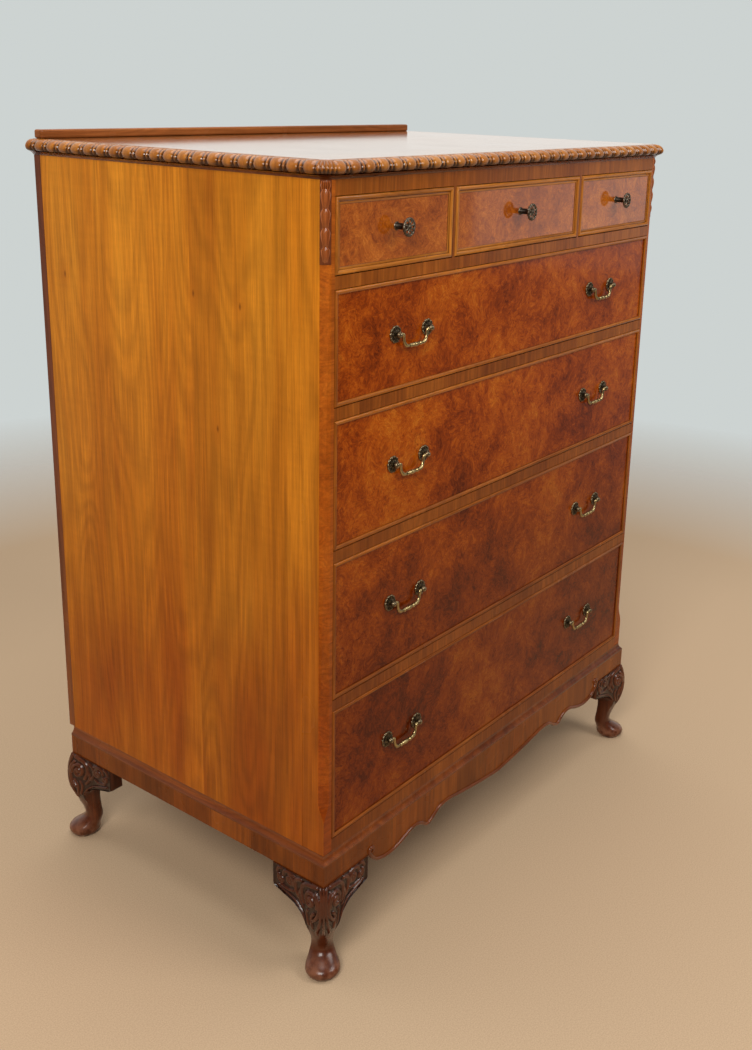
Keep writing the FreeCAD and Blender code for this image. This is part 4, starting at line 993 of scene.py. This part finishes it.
# Each knob: a stem that stands on the drawer front and ends behind the flower, and a boss
# in the flower's middle, as radius and millimetres in front of the face or behind the nose.
STEM_FOOT = [(0.0056, 0.4), (0.0058, -0.8), (0.0050, -1.5), (0.0043, -2.0)]
STEM_END = [(0.0042, 6.0), (0.0050, 5.0), (0.0054, 3.8), (0.0048, 2.8), (0.0020, 2.4)]
BOSS = [(0.0036, 4.0), (0.0037, 2.6), (0.0034, 1.4), (0.0026, 0.7), (0.0016, 0.3), (0.0004, 0.1)]
for name in SMALL_DRAWERS:
    low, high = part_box(f"{name}_knob")
    centre = ((low.x + high.x) / 2, (low.z + high.z) / 2)
    face = low.y
    rim = (high.x - low.x) / 2 - RIM_ROD
    turns = [2 * pi * k / RIM_STEPS for k in range(RIM_STEPS)]
    ring = [(centre[0] + rim * cos(a), face + 0.0026, centre[1] + rim * sin(a))
            for a in turns]
    beading = [RIM_ROD * (0.86 + 0.14 * cos(pi * k / 2)) for k in range(RIM_STEPS + 1)]
    stem = ([(r, FRONT_FACE + y * MM) for r, y in STEM_FOOT]
            + [(r, face + y * MM) for r, y in STEM_END])
    parts = [turned(stem, 36, centre), closed_tube(ring, beading, 10)]
    parts += [loop_rod(centre, face + 0.0022, k * pi / 4, 0.0030, 0.0104, 0.0036, 0.00095)
              for k in range(8)]
    parts.append(turned([(r, face + y * MM) for r, y in BOSS], 24, centre))
    make_piece(f"{name}_flower_knob", *together(parts), knob_brass, name, "old_brass",
               (f"{name}_knob",), 60)


def rose_ripple(radius, y, angle):
    """Ten petals round the rim of a rose, cupped between rim and collar."""
    share = min(max((radius - 0.0045) / 0.0075, 0), 1)
    petal = abs(cos(5 * angle))
    scallop = 1 - 0.085 * share ** 2 * (1 - petal) ** 1.5
    cup = 0.0011 * sin(pi * share) * (petal ** 0.8)
    vein = 0.0005 * share * (1 - petal) ** 3
    return radius * scallop, y - cup + vein


HALF_SPACING = 0.0355
# A rose from its back to its middle, as a share of its radius and millimetres in front of
# the drawer front.
ROSE = [(0.97, -0.2), (1.0, 0.6), (0.985, 1.5), (0.93, 2.1), (0.86, 1.9), (0.78, 1.4),
        (0.70, 1.1), (0.60, 1.1), (0.51, 1.3), (0.44, 1.9), (0.36, 2.4), (0.20, 2.5)]
POST_BALL = 0.0046
# One half of a bail: across from its middle, above the pivot, and its radius.
SWAN = [(34.5, 0, 1.55), (31.2, 0, 1.7), (29.4, 0.1, 2.3), (27.4, -1, 2.7),
        (26.2, -3.6, 2.3), (25.8, -7, 2.1), (25, -10.6, 2.2), (23.2, -14, 2.6),
        (20.2, -16.6, 2.8), (16.4, -17.6, 2.3), (12.6, -17.6, 2.1), (11.2, -17.6, 3),
        (10.2, -17.6, 3), (9.2, -17.6, 2.2), (6, -17.6, 2.7), (2.6, -17.6, 3),
        (1.3, -17.6, 2.6), (0.8, -17.6, 3.2), (0, -17.6, 3.2)]
# The thickest parts of a bail stand forward, so that it clears the drawer when it hangs back.
CLEAR_RADIUS = 2.6
swan_line = smooth_line(SWAN + [(-x, z, r) for x, z, r in SWAN[-2::-1]], 180)
for name in LONG_DRAWERS:
    posts_low, posts_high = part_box(f"{name}_handle_posts")
    rose_radius = (posts_high.z - posts_low.z) / 2
    level = (posts_high.z + posts_low.z) / 2
    rose = [(rose_radius * share, FRONT_FACE - out * MM) for share, out in ROSE]
    parts, bails = [], []
    for hand in ("left", "right"):
        bail_low, bail_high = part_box(f"{name}_bail_{hand}")
        middle = (bail_low.x + bail_high.x) / 2
        pivot_y = (bail_low.y + bail_high.y) / 2
        turns = [radians(-50 + 17.5 * step) for step in range(9)]
        head = [(0.0030, FRONT_FACE - 0.0020), (0.0030, FRONT_FACE - 0.0028),
                (0.0036, pivot_y + 0.0036),
                *[(POST_BALL * cos(a), pivot_y - POST_BALL * sin(a)) for a in turns],
                (0.0004, pivot_y - 0.0047)]
        for end in (-1, 1):
            centre = (middle + end * HALF_SPACING, level)
            parts += [turned(rose, 80, centre, rose_ripple), turned(head, 28, centre)]
        path = [(middle + x * MM, pivot_y - max(r - CLEAR_RADIUS, 0) * MM, level + z * MM)
                for x, z, r in swan_line]
        bails.append((f"{name}_bail_{hand}", f"{name}_swan_bail_{hand}",
                      *tube(path, [r * MM for _, _, r in swan_line], 14)))
    make_piece(f"{name}_handle_roses", *together(parts), rose_brass, name, "old_brass",
               (f"{name}_handle_posts",), 60)
    for node, piece, points, faces in bails:
        make_piece(piece, points, faces, bail_brass, node, "old_brass", (node,), 60)

# -------------- studio
# A plain pale floor that fades out before the backdrop, soft light from large panels on
# both sides and overhead, and a camera at standing height before the left front corner.

floor_mesh = bpy.data.meshes.new("studio_floor")
FLOOR_RADIUS = 3.4
FADE_FROM, FADE_TO = 1.5, 2.8
turns = [radians(a) for a in range(0, 360, 3)]
floor_rim = [(FLOOR_RADIUS * cos(a), FLOOR_RADIUS * sin(a), 0) for a in turns]
floor_mesh.from_pydata(floor_rim, [], [tuple(range(len(floor_rim)))])
floor = show("studio_floor", floor_mesh)
floor_finish, floor_shader, add, join = new_finish("pale_floor")
floor_place = add("TexCoord").outputs["Object"]
join(tone_ramp(add, noise(add, floor_place, 500.0, 3.0),
               [(0.35, (0.45, 0.315, 0.195)), (0.65, (0.53, 0.380, 0.240))]), "Base Color")
floor_shader.inputs["Roughness"].default_value = 0.9
from_middle = add("VectorMath", {0: floor_place}, operation="LENGTH").outputs["Value"]
join(spread(add, from_middle, FADE_FROM, FADE_TO, 1, 0), "Alpha")
floor_mesh.materials.append(floor_finish)

world = bpy.data.worlds.new("studio")
scene.world = world
world.use_nodes = True
sky = world.node_tree
add = adder(sky)
towards_wall = add("VectorMath", {0: add("TexCoord").outputs["Generated"],
                                  1: (0.62, 0.78, 0.10)}, operation="DOT_PRODUCT")
level = spread(add, towards_wall.outputs["Value"], -0.1, 0.8, 0.13, 0.80)
room = add("Background", {"Color": (1.0, 0.97, 0.92, 1), "Strength": level})
backdrop = sky.nodes["Background"]
backdrop.inputs["Color"].default_value = (0.61, 0.65, 0.64, 1)
seen = add("MixShader", {0: add("LightPath").outputs["Is Camera Ray"], 1: room.outputs[0],
                         2: backdrop.outputs[0]})
sky.links.new(seen.outputs[0], sky.nodes["World Output"].inputs["Surface"])

# The last is a low card far to the right, which shows only as a sheen on the small drawers.
for name, place, aim, power, size, colour in (
        ("soft_left", (-2.5, -1.25, 2.45), (0, 0, 0.9), 76, (1.3, 1.3), (1.0, 0.97, 0.92)),
        ("soft_right", (0.7, -2.4, 2.5), (0, 0, 1.0), 37, (1.3, 1.3), (1.0, 0.98, 0.95)),
        ("overhead", (0.0, 0.2, 3.8), (0, 0, 0), 62, (2.6, 2.6), (0.98, 0.99, 1.0)),
        ("sheen_card", (2.83, -1.78, 0.77), (0, -0.28, 1.08), 0.55, (0.85, 0.45), (1, 1, 1))):
    panel = bpy.data.lights.new(name, "AREA")
    panel.shape = "RECTANGLE"
    panel.energy, panel.color = power, colour
    panel.size, panel.size_y = size
    lamp = show(name, panel)
    lamp.location = place
    lamp.rotation_euler = (Vector(aim) - Vector(place)).to_track_quat("-Z", "Y").to_euler()
    lamp.visible_camera = False

scene.view_settings.view_transform = "Standard"

lens = bpy.data.cameras.new("camera")
lens.sensor_width, lens.lens = 36.0, 40.74
lens.shift_x, lens.shift_y = -0.0348, -0.0857
camera = show("camera", lens)
ahead = Vector((0.76676, 0.57719, -0.28096)).normalized()
right = Vector((0.60697, -0.79434, 0.02462)).normalized()
upwards = right.cross(ahead)
camera.matrix_world = Matrix(((right.x, upwards.x, -ahead.x, -1.5372),
                              (right.y, upwards.y, -ahead.y, -1.2417),
                              (right.z, upwards.z, -ahead.z, 1.2545), (0, 0, 0, 1)))
scene.camera = camera
